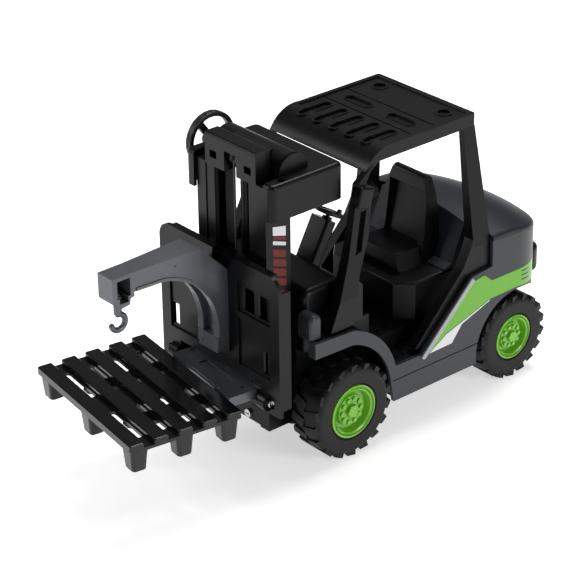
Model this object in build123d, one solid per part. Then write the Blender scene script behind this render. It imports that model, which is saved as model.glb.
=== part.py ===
from build123d import *
import math
import os

# Toy forklift, in millimetres: front towards -Y, driver's left towards +X, +Z up.
# While it is being built, X = 0 is the truck's middle plane and Z = 0 is the floor.
# At the end everything is moved so that the origin is the bottom centre of the whole object's box.

# ---------------------------------------------------------------- driving dimensions
WALL = 2.4                      # body moulding wall
GAP = 0.3                       # clearance between pieces that move past each other
SEAT_GAP = 0.04                 # gap between pieces of one body that only rest on each other
RUN = 0.06                      # radial clearance of a running shaft

# wheels
FRONT_TYRE_R = 29.4
FRONT_TYRE_W = 22.0
FRONT_RIM_R = 16.6
REAR_TYRE_R = 27.4
REAR_TYRE_W = 19.0
REAR_RIM_R = 14.4
FRONT_FACE_X = 57.7             # outer face of the front tyres
REAR_FACE_X = 53.0              # outer face of the rear tyres
FRONT_AXLE_Y = -54.0
REAR_AXLE_Y = 82.0
AXLE_R = 2.0
LUGS = 18

# body
BODY_HALF = 55.0                # half width over the grey side skins
BODY_FRONT = -81.0
BODY_REAR = 106.0
REAR_BULGE = 8.0                # how far the rear wall bows out at its middle
REAR_CORNER = 30.0
SILL_Z = 22.0
STEP_Z = 45.0
BELT_Z = 100.7                  # top of the grey rear quarter at the door edge
BELT_MID = (86.0, 99.0)         # Y, Z: the belt line falls from here
BELT_END = (118.0, 87.5)
HOOD_Z = 111.5
HOOD_CROWN = 8.0                # drop of the hood from its middle to its sides
HOOD_FALL = 0.0072              # how fast the hood drops towards the rear
HOOD_FALL_Y = 68.0
HOOD_RIM = 2.4
HOOD_FRONT = 52.0
SHOULDER_Y = 36.0               # front foot of the shoulders beside the seat
DOOR_REAR = 59.5
FENDER_Z = 81.0
FENDER_BAND = 9.5
DECK_Z = 56.0
DECK_HALF = 36.0
PAN_HALF = 29.0
PAN_Z = 17.0

# overhead guard
ROOF_HALF = 41.4
ROOF_REAR = 55.6
ROOF_FRONT = -30.0
ROOF_TOP = 180.0
ROOF_RIM = 7.7
ROOF_SKIN = 3.2
RECESS = 1.2                    # depth of the blind recesses in the roof

# seat
SEAT_HALF = 20.5
SEAT_FRONT = 14.5
SEAT_REAR = 49.0
SEAT_BASE_Z = 81.0
SEAT_CUSHION_Z = 92.0
PEDESTAL_HALF = 36.0
PEDESTAL_FRONT = 5.0
SHOULDER_CUT = 9.5
SEAT_TOP_Z = 134.0

# mast
MAST_FRONT = -95.0
MAST_DEPTH = 18.0
MAST_HALF = 30.0
MAST_TOP = 174.0
MAST_BASE = 20.0
INNER_HALF = 22.0
INNER_RAIL_W = 7.0
CROSSBAR_TOP = 192.5
CROSSBAR_H = 19.5
CROSSBAR_D = 10.6
LIFT_TUBE_R = 6.3
LIFT_TUBE_Y = MAST_FRONT + 11.5
ROLLER_Y = MAST_FRONT + 6.4
ROLLER_Z = CROSSBAR_TOP - CROSSBAR_H + 8.0
ROLLER_R = 4.0
ROLLER_GROOVE = 2.6

# winch
BOX_HALF = 37.8
BOX_REAR = -44.0
BOX_BASE = 156.0
BOX_TOP = 178.0
DRUM_Y = -73.5
DRUM_Z = 174.5
DRUM_R = 4.6
CORD_R = 0.7
SHAFT_R = 2.0
HAND_WHEEL_R = 16.6
COVER_R = 10.6
COVER_HALF = 29.0

# carriage and forks
CARRIAGE_FRONT = -106.0
CARRIAGE_SKIN = 2.5
CARRIAGE_HALF = 53.0
CARRIAGE_BASE = 42.5
CARRIAGE_TOP = 130.0
TONGUE_HALF = 4.2               # T-slot that the crane arm drops into
TONGUE_Z = 68.4
FORK_YAW = -7.8                 # the fork unit stands swung this far at rest
FORK_PIN_X = 3.0
FORK_PIN_Y = -101.2
FORK_TOP = 54.8
FORK_T = 6.0
FORK_HALF = 32.0
FORK_REACH = 20.2
TINE_IN = 17.0
TINE_W = 11.5
TINE_T = 3.2
TINE_LENGTH = 62.0

# pallet
PALLET_W = 108.0
PALLET_L = 71.0
PALLET_TOP = 60.0
PALLET_BASE = 41.5
PALLET_CENTRE = 61.4            # pallet centre, ahead of the fork pin
PLANK_GAP = 6.2
PALLET_SLOT_W = 4.6
PALLET_SHIFT = 0.7              # the pallet stands this far off the fork's middle
LEG = 12.2

# crane arm
ARM_TOP = 140.0
ARM_TIP = -184.0
ARM_ROOT_HALF = 9.0
ARM_HEAD_HALF = 6.6
ARM_WALL = 1.8
HOOK_Y = -176.5
HOOK_R = 4.7
HOOK_WIRE = 1.7
ARCH_LIP = [                    # Y, Z of the raised lip along the arch's edge
    (-168.0, 128.0),
    (-151.0, 128.0),
    (-130.0, 119.0, "arc"),
    (-113.8, 80.0),
    (-112.0, 80.0),
    (-128.6, 120.4, "arc"),
    (-151.0, 129.8),
    (-168.0, 129.8),
]

# steering
COLUMN_FOOT = (-37.0, 98.0)     # Y, Z
COLUMN_HEAD = (-23.5, 123.0)
STEER_R = 9.0

NODES = {}


# ---------------------------------------------------------------- small helpers
def block(x0, x1, y0, y1, z0, z1):
    """A box between two corners."""
    size = Box(x1 - x0, y1 - y0, z1 - z0)
    return Pos((x0 + x1) / 2, (y0 + y1) / 2, (z0 + z1) / 2) * size


def rod_x(radius, x0, x1, y, z):
    """A cylinder along X."""
    return Pos((x0 + x1) / 2, y, z) * Rot(0, 90, 0) * Cylinder(radius, x1 - x0)


def rod_y(radius, y0, y1, x, z):
    """A cylinder along Y."""
    return Pos(x, (y0 + y1) / 2, z) * Rot(90, 0, 0) * Cylinder(radius, y1 - y0)


def rod_z(radius, z0, z1, x, y):
    """A cylinder along Z."""
    return Pos(x, y, (z0 + z1) / 2) * Cylinder(radius, z1 - z0)


def side_face(points):
    """A face in the Y-Z plane. Three-point entries (p, via, q) are arcs, pairs are straight."""
    return Plane.YZ * make_face(outline(points))


def outline(points):
    """Edges of a closed outline: a point given as (y, z, 'arc') is passed through by an arc."""
    edges = []
    count = len(points)
    i = 0
    while i < count:
        start = points[i]
        after = points[(i + 1) % count]
        if len(after) == 3:
            end = points[(i + 2) % count]
            edges.append(ThreePointArc(start[:2], after[:2], end[:2]))
            i += 2
        else:
            edges.append(Line(start[:2], after[:2]))
            i += 1
    return edges


def side_plate(points, x0, x1):
    """A plate whose outline is in the Y-Z plane, between two X values."""
    return Pos(x0, 0, 0) * extrude(side_face(points), x1 - x0)


def front_plate(points, y0, y1):
    """A plate whose outline is in the X-Z plane, between two Y values."""
    face = Plane.XZ * make_face(Polyline(*points, close=True))
    return Pos(0, y1, 0) * extrude(face, y1 - y0)


def mirror_x(shape):
    """The same shape on the other side of the middle plane."""
    return mirror(shape, about=Plane.YZ)


def soften(shape, radius, edges):
    """Round the given edges."""
    return fillet(edges, radius) if edges else shape


# ---------------------------------------------------------------- body
def body_plan(inset):
    """Plan of the body with its bowed rear wall and rounded rear corners."""
    half = BODY_HALF - inset
    front = BODY_FRONT + inset
    rear = BODY_REAR - inset
    edges = [
        Line((-half, front), (half, front)),
        Line((half, front), (half, rear)),
        ThreePointArc((half, rear), (0, rear + REAR_BULGE), (-half, rear)),
        Line((-half, rear), (-half, front)),
    ]
    face = make_face(edges)
    corners = face.vertices().group_by(Axis.Y)[-1]
    return fillet(corners, REAR_CORNER - inset)


def fender_outline(drop, front):
    """Outer edge of the front fender, from its tip over the wheel down to the sill step."""
    return [
        (front, FENDER_Z + 1.0 - drop),
        (FRONT_AXLE_Y + 2.0, FENDER_Z - 0.5 - drop),
        (FRONT_AXLE_Y + 24.5, FENDER_Z - 15.0 - drop, "arc"),
        (FRONT_AXLE_Y + 35.2 - drop, STEP_Z + 0.4),
    ]


def body_side_outline():
    """Side view of the grey skin: fender, sill, door edge and rear quarter."""
    rear = BODY_REAR + REAR_BULGE + 2.0
    return fender_outline(0.0, BODY_FRONT) + [
        (2.0, STEP_Z),
        (DOOR_REAR - 16.5, BELT_Z - 18.2),
        (DOOR_REAR, BELT_Z - 16.7),
        (DOOR_REAR, BELT_Z),
        BELT_MID,
        BELT_END,
        (rear, SILL_Z + 30.5),
        (REAR_AXLE_Y + 17.0, SILL_Z + 30.5),
        (REAR_AXLE_Y - 31.0, SILL_Z),
        (FRONT_AXLE_Y + 34.0, SILL_Z),
        (FRONT_AXLE_Y + 31.4, SILL_Z + 14.0),
        (FRONT_AXLE_Y + 23.0, SILL_Z + 35.0, "arc"),
        (FRONT_AXLE_Y + 2.0, FENDER_Z - FENDER_BAND),
        (BODY_FRONT, FENDER_Z - FENDER_BAND + 0.8),
    ]


def body_shell():
    """Grey body skin: both sides in one moulding with the rear wall."""
    tall = BELT_Z + 10
    outer = extrude(body_plan(0.0), tall)
    inner = extrude(body_plan(WALL), tall)
    skin = outer - inner
    side = side_plate(body_side_outline(), -BODY_HALF - 1, BODY_HALF + 1)
    shell = skin & side
    arch = rod_x(REAR_TYRE_R + 7.0, -BODY_HALF - 2, BODY_HALF + 2, REAR_AXLE_Y, REAR_TYRE_R)
    shell -= arch
    shell -= block(-BODY_HALF + 6, BODY_HALF - 6, BODY_FRONT - 1, BODY_FRONT + WALL + 1, 0, BELT_Z)
    for s in (-1, 1):
        # seam line along the sill
        seam = block(s * BODY_HALF - 0.6, s * BODY_HALF + 0.6, -21, 50, SILL_Z + 13.6, SILL_Z + 14.4)
        shell -= seam
    return shell


def trim_strip(side):
    """Bright strip along the sloping door edge."""
    low = (2.3, STEP_Z - 2.5)
    high = (DOOR_REAR - 16.3, BELT_Z - 19.2)
    length = math.dist(low, high)
    angle = math.degrees(math.atan2(high[1] - low[1], high[0] - low[0]))
    x = BODY_HALF + SEAT_GAP
    bar = Box(1.2, length, 3.6)
    bar = fillet(bar.edges().filter_by(Axis.X), 1.2)
    bar = chamfer(bar.faces().sort_by(Axis.X)[-1].edges(), 0.3)
    strip = Pos(x + 0.6, (low[0] + high[0]) / 2, (low[1] + high[1]) / 2) * Rot(angle, 0, 0) * bar
    return strip if side > 0 else mirror_x(strip)


def hood_height(x, y):
    """Height of the hood's crowned top over a point of the plan."""
    behind = max(0.0, y - HOOD_FALL_Y)
    return HOOD_Z - HOOD_CROWN * (x / BODY_HALF) ** 2 - HOOD_FALL * behind**2


def hood_dome(low, drop):
    """Solid under the crowned top: arched sections from the seat to behind the truck."""
    reach = BODY_HALF + 3.0
    sections = []
    for y in (38.0, 54.0, 68.0, 80.0, 92.0, 104.0, 116.0, 124.0):
        side = hood_height(reach, y) - drop
        arch = ThreePointArc((-reach, side), (0, hood_height(0, y) - drop), (reach, side))
        edges = [
            arch,
            Line((reach, side), (reach, low)),
            Line((reach, low), (-reach, low)),
            Line((-reach, low), (-reach, side)),
        ]
        sections.append(Plane.XZ.offset(-y) * make_face(edges))
    return loft(sections)


def engine_hood():
    """Dark crowned cover over the engine, with the shoulders that carry the seat back."""
    low = 60.0
    belt = [
        (DOOR_REAR + 0.3, BELT_Z + SEAT_GAP),
        (BELT_MID[0], BELT_MID[1] + SEAT_GAP),
        (BELT_END[0] + 6.0, BELT_END[1] - 2.1 + SEAT_GAP),
        (BELT_END[0] + 6.0, HOOD_Z + 6),
        (DOOR_REAR + 0.3, HOOD_Z + 6),
    ]
    dome = extrude(body_plan(0.0), HOOD_Z + 10) & hood_dome(low, 0.0)
    cover = dome & side_plate(belt, -BODY_HALF - 1, BODY_HALF + 1)
    rim = cover.edges().filter_by(GeomType.BSPLINE).filter_by(lambda e: e.center().Y > HOOD_FALL_Y)
    cover = fillet(rim, HOOD_RIM)
    shoulder = [
        (SHOULDER_Y, SEAT_BASE_Z + SEAT_GAP),
        (SHOULDER_Y + 8.0, SEAT_BASE_Z + 3.0),
        (SHOULDER_Y + 14.0, 98.0),
        (SHOULDER_Y + 19.0, HOOD_Z - 1.0),
        (DOOR_REAR + 3.0, HOOD_Z + 4.0),
        (DOOR_REAR + 3.0, SEAT_BASE_Z + SEAT_GAP),
    ]
    neck = side_plate(shoulder, -PEDESTAL_HALF, PEDESTAL_HALF) & hood_dome(low, 0.0)
    niche = SEAT_HALF + GAP
    neck -= block(-niche, niche, SHOULDER_Y - 1, SEAT_REAR + 0.5 + GAP, low, HOOD_Z + 5)
    lining = extrude(body_plan(WALL + SEAT_GAP), 97.0)
    lining &= block(-BODY_HALF, BODY_HALF, DOOR_REAR + 4.5, BODY_REAR + 20, BELT_END[1] - 7, BELT_MID[1] - 2.0)
    lining -= side_plate([(BELT_MID[0] + 4, 102), (BELT_END[0] + 6, BELT_END[1] - 0.5), (BELT_END[0] + 6, 102)], -60, 60)
    hood = cover + neck + lining
    room = block(-33, 33, DOOR_REAR + 3.0, BODY_REAR - 12, 70.0, HOOD_Z + 4)
    room += block(-45, 45, DOOR_REAR + 3.0, BODY_REAR - 26, 70.0, HOOD_Z + 4)
    hood -= room & hood_dome(low, 7.5)
    hood -= block(-36, 36, HOOD_FRONT + 2.4, HOOD_FRONT + 3.3, HOOD_Z - 1.3, HOOD_Z + 1)
    return hood


def rear_bumper():
    """Rounded buffer block across the counterweight."""
    wall = BODY_REAR + REAR_BULGE
    z0 = 49.0
    pad = block(-29, 29, wall - 9, wall + 17.5, z0, z0 + 17)
    pad = fillet(pad.edges().filter_by(Axis.Z).group_by(Axis.Y)[-1], 9.0)
    pad = fillet(pad.faces().sort_by(Axis.Z)[-1].edges(), 2.5)
    pad = fillet(pad.faces().sort_by(Axis.Z)[0].edges(), 2.5)
    keep_out = extrude(body_plan(-SEAT_GAP), BELT_Z)
    return pad - keep_out


def chassis_pan():
    """Tray under the truck: carries both axles, the mast foot and the floor."""
    y0 = MAST_FRONT + MAST_DEPTH + SEAT_GAP
    pan = block(-PAN_HALF, PAN_HALF, y0, BODY_REAR - 6, PAN_Z, PAN_Z + 27)
    pan = fillet(pan.edges().filter_by(Axis.Z), 3.0)
    pan -= block(-PAN_HALF + WALL, PAN_HALF - WALL, y0 + WALL, BODY_REAR - 6 - WALL, PAN_Z + WALL, 90)
    for y, z in ((FRONT_AXLE_Y, FRONT_TYRE_R), (REAR_AXLE_Y, REAR_TYRE_R)):
        pan += block(-PAN_HALF, PAN_HALF, y - 5, y + 5, PAN_Z + 1, z + 5)
        pan -= rod_x(AXLE_R + RUN, -PAN_HALF - 1, PAN_HALF + 1, y, z)
    # sill ledges that the grey skin stands on
    ledge = block(-BODY_HALF + WALL + SEAT_GAP, BODY_HALF - WALL - SEAT_GAP, -18, 46, SILL_Z + 1, SILL_Z + 4)
    pan += ledge
    for y in (-66, 0, 66, 96):
        for x in (-18, 18):
            pan += rod_z(4.0, PAN_Z + 1, PAN_Z + 27, x, y)
            pan -= rod_z(1.5, PAN_Z - 1, PAN_Z + 28, x, y)
            pan -= rod_z(2.9, PAN_Z - 1, PAN_Z + 3.5, x, y)
    return pan


def chassis_screws():
    """Self-tapping screws that hold the tray to the floor moulding."""
    screws = []
    for y in (-66, 0, 66, 96):
        for x in (-18, 18):
            head = rod_z(2.7, PAN_Z + 1.0, PAN_Z + 3.4, x, y)
            head -= Pos(x, y, PAN_Z + 1.3) * Box(3.2, 0.7, 1.0)
            head -= Pos(x, y, PAN_Z + 1.3) * Box(0.7, 3.2, 1.0)
            screws.append(head + rod_z(1.4, PAN_Z + 3.0, PAN_Z + 24, x, y))
    return Compound(screws)


def floor_deck():
    """Tread-plate floor: middle deck and a lower step inside each door."""
    base = PAN_Z + 27 + SEAT_GAP
    step_x = BODY_HALF - WALL - SEAT_GAP
    deck = block(-DECK_HALF, DECK_HALF, -19.0, HOOD_FRONT - 2, base, DECK_Z)
    deck += block(-30.8, 30.8, -44.0, -19.0, base, DECK_Z)
    deck += block(-step_x, step_x, -17.0, 46.0, base - 3, base + 0.8)
    deck -= block(-PAN_HALF - 0.1, PAN_HALF + 0.1, -19, 47, base - 4, base)
    dots = []
    rows = int((PEDESTAL_FRONT - 3.0 + 18.0) / 4.2) + 1
    for i in range(7):
        for j in range(rows):
            if (i + j) % 2 == 0:
                dots.append((-30 + 10 * i, -18 + 4.2 * j, DECK_Z))
    for s in (-1, 1):
        for i in range(2):
            for j in range(5):
                dots.append((s * (39 + 7 * i), -13 + 6.0 * j + 3.0 * i, base + 0.8))
    for x, y, z in dots:
        deck += Pos(x, y, z - 0.2) * Cylinder(1.6, 2.4)
    return deck


def front_cowl():
    """Black front moulding: dash block and the tops of both wheel housings."""
    half = 40.0
    dash = block(-half, half, MAST_FRONT + MAST_DEPTH + 0.6, -44.0, 69.0, 107.5)
    dash = fillet(dash.edges().filter_by(Axis.X).group_by(Axis.Z)[-1], 6.0)
    dash = fillet(dash.edges().filter_by(Axis.Y).group_by(Axis.Z)[-1], 3.5)
    dash -= block(-half + 3, half - 3, MAST_FRONT + MAST_DEPTH + 4, -47.0, 60.0, 103.5)
    cowl = dash
    band = [
        (BODY_FRONT + 4.0, FENDER_Z + 0.6),
        (FRONT_AXLE_Y + 2.0, FENDER_Z - 1.0),
        (FRONT_AXLE_Y + 24.0, FENDER_Z - 15.5, "arc"),
        (FRONT_AXLE_Y + 34.6, STEP_Z + 1.0),
        (FRONT_AXLE_Y + 32.0, STEP_Z + 1.0),
        (FRONT_AXLE_Y + 22.0, FENDER_Z - 17.5, "arc"),
        (FRONT_AXLE_Y + 2.0, FENDER_Z - 3.6),
        (BODY_FRONT + 4.0, FENDER_Z - 2.0),
    ]
    outer = BODY_HALF - WALL - SEAT_GAP
    for s in (-1, 1):
        lo, hi = sorted((s * 32.0, s * outer))
        cowl += side_plate(band, lo, hi)
        lo, hi = sorted((s * 31.0, s * 33.2))
        cowl += block(lo, hi, MAST_FRONT + MAST_DEPTH + 0.6, -20.3, PAN_Z + 8, 72.0)
    cowl -= block(-34, 34, FRONT_AXLE_Y - 2.6, FRONT_AXLE_Y + 2.6, PAN_Z + 7, FRONT_TYRE_R)
    cowl -= rod_x(2.6, -34, 34, FRONT_AXLE_Y, FRONT_TYRE_R)
    return cowl


def headlight(side):
    """Ribbed lamp on the fender tip."""
    z0 = FENDER_Z + 1.8
    lamp = block(40.6, 51.5, BODY_FRONT - 0.5, BODY_FRONT + 8.5, z0, z0 + 14.5)
    lamp = fillet(lamp.edges().filter_by(Axis.X).group_by(Axis.Z)[-1], 4.0)
    lamp = fillet(lamp.edges().filter_by(Axis.Y).group_by(Axis.Z)[-1].sort_by(Axis.X)[-1:], 2.6)
    for i in range(4):
        x = 42.2 + 2.1 * i
        lamp -= block(x, x + 0.9, BODY_FRONT - 1.5, BODY_FRONT + 0.5, z0 + 1.2, z0 + 15)
    return lamp if side > 0 else mirror_x(lamp)


# ---------------------------------------------------------------- cab
def seat_pedestal():
    """Engine cover under the seat with chamfered front corners."""
    z0 = DECK_Z + SEAT_GAP
    rear = DOOR_REAR - 1.0
    box = block(-PEDESTAL_HALF, PEDESTAL_HALF, PEDESTAL_FRONT, rear, z0, SEAT_BASE_Z)
    box = chamfer(box.edges().filter_by(Axis.Z).group_by(Axis.Y)[0], SHOULDER_CUT)
    box = fillet(box.faces().sort_by(Axis.Z)[-1].edges().sort_by(Axis.Y)[:-1], 1.5)
    room = PEDESTAL_HALF - 3.0
    box -= block(-room, room, PEDESTAL_FRONT + SHOULDER_CUT, rear - 3, z0 - 1, SEAT_BASE_Z - 3)
    # seam along the foot
    box -= block(-60, 60, PEDESTAL_FRONT - 1, PEDESTAL_FRONT + 0.5, z0 + 0.8, z0 + 1.6)
    return box


def bucket_seat():
    """One-piece seat: rounded cushion and a high back with side bolsters."""
    z0 = SEAT_BASE_Z + SEAT_GAP
    back_y = SEAT_REAR - 13.0
    narrow = SEAT_HALF - 3.5
    foot = Pos(0, (SEAT_FRONT + back_y) / 2, z0) * Rectangle(2 * SEAT_HALF, back_y - SEAT_FRONT)
    brow = Pos(0, (SEAT_FRONT + back_y) / 2 + 0.8, SEAT_CUSHION_Z)
    brow = brow * Rectangle(2 * narrow, back_y - SEAT_FRONT - 1.6)
    cushion = loft([foot, brow])
    cushion = fillet(cushion.edges().filter_by(Axis.X).group_by(Axis.Y)[0], 3.4)
    cushion = fillet(cushion.edges().group_by(Axis.Z)[-1].filter_by(Axis.Y), 2.2)
    lean = [
        (back_y - 1.5, z0),
        (SEAT_REAR, z0),
        (SEAT_REAR + 0.5, z0 + 25),
        (SEAT_REAR - 1.0, SEAT_TOP_Z - 3),
        (SEAT_REAR - 4.0, SEAT_TOP_Z, "arc"),
        (SEAT_REAR - 7.5, SEAT_TOP_Z - 3),
        (back_y + 1.0, SEAT_CUSHION_Z + 6),
        (back_y - 1.5, SEAT_CUSHION_Z - 4),
    ]
    back = side_plate(lean, -SEAT_HALF, SEAT_HALF)
    back &= front_plate(
        [
            (-SEAT_HALF, z0 - 1),
            (SEAT_HALF, z0 - 1),
            (SEAT_HALF - 1.5, z0 + 22),
            (SEAT_HALF - 3.0, SEAT_TOP_Z - 13),
            (SEAT_HALF - 7.5, SEAT_TOP_Z + 1),
            (-SEAT_HALF + 7.5, SEAT_TOP_Z + 1),
            (-SEAT_HALF + 3.0, SEAT_TOP_Z - 13),
            (-SEAT_HALF + 1.5, z0 + 22),
        ],
        SEAT_FRONT,
        SEAT_REAR + 5,
    )
    # recess of the backrest between the side wings, open down to the cushion
    dip = side_plate(
        [
            (back_y - 4.0, SEAT_CUSHION_Z + 0.02),
            (back_y + 3.0, SEAT_CUSHION_Z + 0.02),
            (SEAT_REAR - 3.8, SEAT_TOP_Z - 12),
            (SEAT_REAR - 12.0, SEAT_TOP_Z - 6),
        ],
        -SEAT_HALF + 6.0,
        SEAT_HALF - 6.0,
    )
    return cushion + (back - dip)


def overhead_guard():
    """Roof with its four posts, one black moulding."""
    under = ROOF_TOP - ROOF_RIM
    roof_side = [
        (ROOF_REAR, under),
        (ROOF_REAR, ROOF_TOP),
        (-8.0, ROOF_TOP),
        (ROOF_FRONT + 5.5, ROOF_TOP - 4.0, "arc"),
        (ROOF_FRONT - 1.0, ROOF_TOP - 11.5),
        (ROOF_FRONT + 2.5, ROOF_TOP - 12.3),
        (ROOF_FRONT + 9.5, under),
    ]
    roof = side_plate(roof_side, -ROOF_HALF, ROOF_HALF)
    corners = roof.edges().filter_by(Axis.Z)
    roof = fillet(corners, 1.6)
    room = [
        (ROOF_REAR - 2.6, under - 3),
        (ROOF_REAR - 2.6, ROOF_TOP - ROOF_SKIN),
        (-8.0, ROOF_TOP - ROOF_SKIN),
        (ROOF_FRONT + 8.0, ROOF_TOP - 6.6, "arc"),
        (ROOF_FRONT + 3.0, under - 3),
    ]
    roof -= side_plate(room, -ROOF_HALF + 2.6, ROOF_HALF - 2.6)
    # panel sunk inside a raised rim
    sunk = block(-38.3, 38.3, -12.0, 51.6, ROOF_TOP - 0.8, ROOF_TOP + 1)
    roof -= sunk
    panel = ROOF_TOP - 0.8
    for y in (26.5, 8.0):
        roof -= block(-38.3, 38.3, y - 0.5, y + 0.5, panel - 0.8, panel + 1)
    for x in (-27.3, 27.3):
        roof += Pos(x, 43.3, panel) * (Cylinder(5.4, 1.0) - Cylinder(3.8, 2))
        roof -= Pos(x, 43.3, panel) * Cylinder(3.8, 2 * RECESS)
        roof -= Pos(x, 43.3, panel) * Cylinder(1.1, 12)
    for x in (-18.2, 18.2):
        roof += slot_ring(22.5, 8.0, panel, Pos(x, 18.0, 0))
        roof -= slot_cut(20.0, 5.4, panel, Pos(x, 18.0, 0))
    for i in range(5):
        place = Pos(-27.6 + 13.8 * i, -8.0, 0) * Rot(0, 0, 90)
        roof += slot_ring(26.0, 7.8, panel, place)
        roof -= slot_cut(23.6, 5.2, panel, place)
    posts = guard_posts()
    return roof + posts + mirror_x(posts)


def slot_ring(length, width, z, place):
    """Raised ring around a long recess."""
    ring = SlotOverall(length, width) - SlotOverall(length - 1.8, width - 1.8)
    return place * Pos(0, 0, z - 0.4) * extrude(ring, 0.9)


def slot_cut(length, width, z, place):
    """The recess itself, with a floor left under it."""
    return place * Pos(0, 0, z - RECESS) * extrude(SlotOverall(length, width), 12)


def guard_posts():
    """Front and rear post on the driver's left, leaning out towards their feet."""
    top = ROOF_TOP - ROOF_RIM + 0.5
    front = side_plate(
        [
            (ROOF_FRONT + 6.0, top),
            (ROOF_FRONT - 0.8, ROOF_TOP - 12.0),
            (ROOF_FRONT - 8.0, 163.0),
            (ROOF_FRONT - 12.0, 150.0),
            (ROOF_FRONT - 20.0, 124.0),
            (ROOF_FRONT - 37.0, FENDER_Z + 1.8),
            (ROOF_FRONT - 20.0, FENDER_Z + 1.8),
            (ROOF_FRONT - 13.5, 112.0),
            (ROOF_FRONT - 4.0, 132.0),
            (ROOF_FRONT + 0.5, 150.0),
            (ROOF_FRONT - 1.5, 163.0),
        ],
        30,
        60,
    )
    slot = side_plate(
        [
            (ROOF_FRONT - 8.0, 147.5),
            (ROOF_FRONT - 3.6, 147.5),
            (ROOF_FRONT - 10.4, 125.0),
            (ROOF_FRONT - 15.2, 123.5),
        ],
        30,
        60,
    )
    front -= slot
    rear = side_plate(
        [
            (ROOF_REAR - 9.8, top),
            (ROOF_REAR - 0.6, top),
            (ROOF_REAR + 4.0, 103.0),
            (DOOR_REAR - 0.4, BELT_Z),
            (DOOR_REAR + 4.0, BELT_Z - 12.0),
            (DOOR_REAR + 4.0, BELT_Z - 20.5),
            (DOOR_REAR - 13.0, BELT_Z - 21.5),
            (7.5, STEP_Z + 3.5),
            (-1.0, STEP_Z + 3.5),
            (DOOR_REAR - 22.0, BELT_Z - 12.0),
            (DOOR_REAR - 13.5, BELT_Z + 4.0),
        ],
        30,
        60,
    )
    slab = front_plate(
        [(37.2, top + 1), (41.2, top + 1), (BODY_HALF - WALL - 0.2, 100.0), (BODY_HALF - WALL - 0.2, 40.0),
         (46.2, 40.0), (45.4, 96.0)],
        -80,
        80,
    )
    knuckle = Pos(43.6, ROOF_FRONT - 5.8, 156.0) * Rot(-16, 0, 0) * Box(8.4, 10.5, 12.5)
    knuckle = fillet(knuckle.edges(), 1.4)
    foot = block(44.4, 50.4, -52.5, -41.0, 73.0, 109.0)
    foot = chamfer(foot.edges().filter_by(Axis.X).group_by(Axis.Z)[-1].sort_by(Axis.Y)[-1:], 4.0)
    foot = foot - block(30, 60, -60, -30, 60, FENDER_Z + 1.8)
    return (front & slab) + (rear & slab) + knuckle + foot


def steering_column():
    """Slanted instrument post on the dash."""
    y0, z0 = COLUMN_FOOT
    y1, z1 = COLUMN_HEAD
    angle = math.degrees(math.atan2(y1 - y0, z1 - z0))
    length = math.dist(COLUMN_FOOT, COLUMN_HEAD) + 8
    post = Box(15.5, 8.0, length)
    post = fillet(post.edges().filter_by(Axis.Z), 2.0)
    mid = Pos(0, (y0 + y1) / 2 - 4.2, (z0 + z1) / 2 - 2.5)
    post = mid * Rot(-angle, 0, 0) * post
    post -= front_cowl_room()
    head = Pos(0, y1, z1) * Rot(-angle, 0, 0) * Pos(0, 0, -2.2) * Cylinder(3.0, 7)
    post += head
    bore = Pos(0, y1, z1) * Rot(-angle, 0, 0) * Pos(0, 0, -2) * Cylinder(1.3 + RUN, 9)
    return post - bore


def front_cowl_room():
    """Space taken by the dash, with a hair of clearance."""
    return block(-41, 41, -90, -44.0 + SEAT_GAP, 60, 107.5 + SEAT_GAP)


def steering_place():
    """Frame of the steering wheel: +Z along the column."""
    y0, z0 = COLUMN_FOOT
    y1, z1 = COLUMN_HEAD
    angle = math.degrees(math.atan2(y1 - y0, z1 - z0))
    return Pos(0, y1, z1) * Rot(-angle, 0, 0)


def steering_wheel():
    """Small wheel with three spokes, a hub pin and a spinner knob."""
    ring = Torus(STEER_R - 1.3, 1.3)
    hub = Pos(0, 0, -0.4) * Cylinder(2.6, 3.0)
    wheel = ring + hub
    for k in range(3):
        spoke = Rot(0, 0, 90 + 120 * k) * Pos(STEER_R / 2 - 0.5, 0, 0) * Box(STEER_R - 2.2, 2.0, 1.4)
        wheel += spoke
    knob = Pos(STEER_R - 1.4, 0, 2.4) * Cylinder(1.5, 3.4)
    knob = fillet(knob.edges().group_by(Axis.Z)[-1], 1.2)
    wheel += knob
    pin = Pos(0, 0, -5.0) * Cylinder(1.3, 7.0)
    return steering_place() * Pos(0, 0, 4.0) * (wheel + pin)


def control_levers():
    """Two short levers beside the column."""
    levers = []
    for x in (-15.5, -20.0):
        stick = rod_z(0.9, 107.5 + SEAT_GAP, 116.0, x, -60.0)
        ball = Pos(x, -60.0, 117.0) * Sphere(1.8)
        levers.append(stick + ball)
    return Compound(levers)


# ---------------------------------------------------------------- mast
def outer_mast():
    """Outer rails with side plates, tied by a foot block."""
    rear = MAST_FRONT + MAST_DEPTH
    inner_x = INNER_HALF + 0.2
    rail = block(inner_x, MAST_HALF, MAST_FRONT, rear, MAST_BASE, MAST_TOP)
    rail -= block(inner_x - 1, MAST_HALF - 2.4, MAST_FRONT + 2.4, rear - 2.4, MAST_BASE + 12, MAST_TOP + 1)
    mast = rail + mirror_x(rail)
    foot = block(-MAST_HALF, MAST_HALF, MAST_FRONT, rear, MAST_BASE, MAST_BASE + 12)
    foot = fillet(foot.edges().filter_by(Axis.X).group_by(Axis.Z)[0], 2.0)
    mast += foot
    mast += block(-MAST_HALF, MAST_HALF, rear - 2.2, rear, 60, 74)
    mast -= rod_z(LIFT_TUBE_R + 0.05, MAST_BASE + 8, 80, 0, LIFT_TUBE_Y)
    return mast


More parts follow.
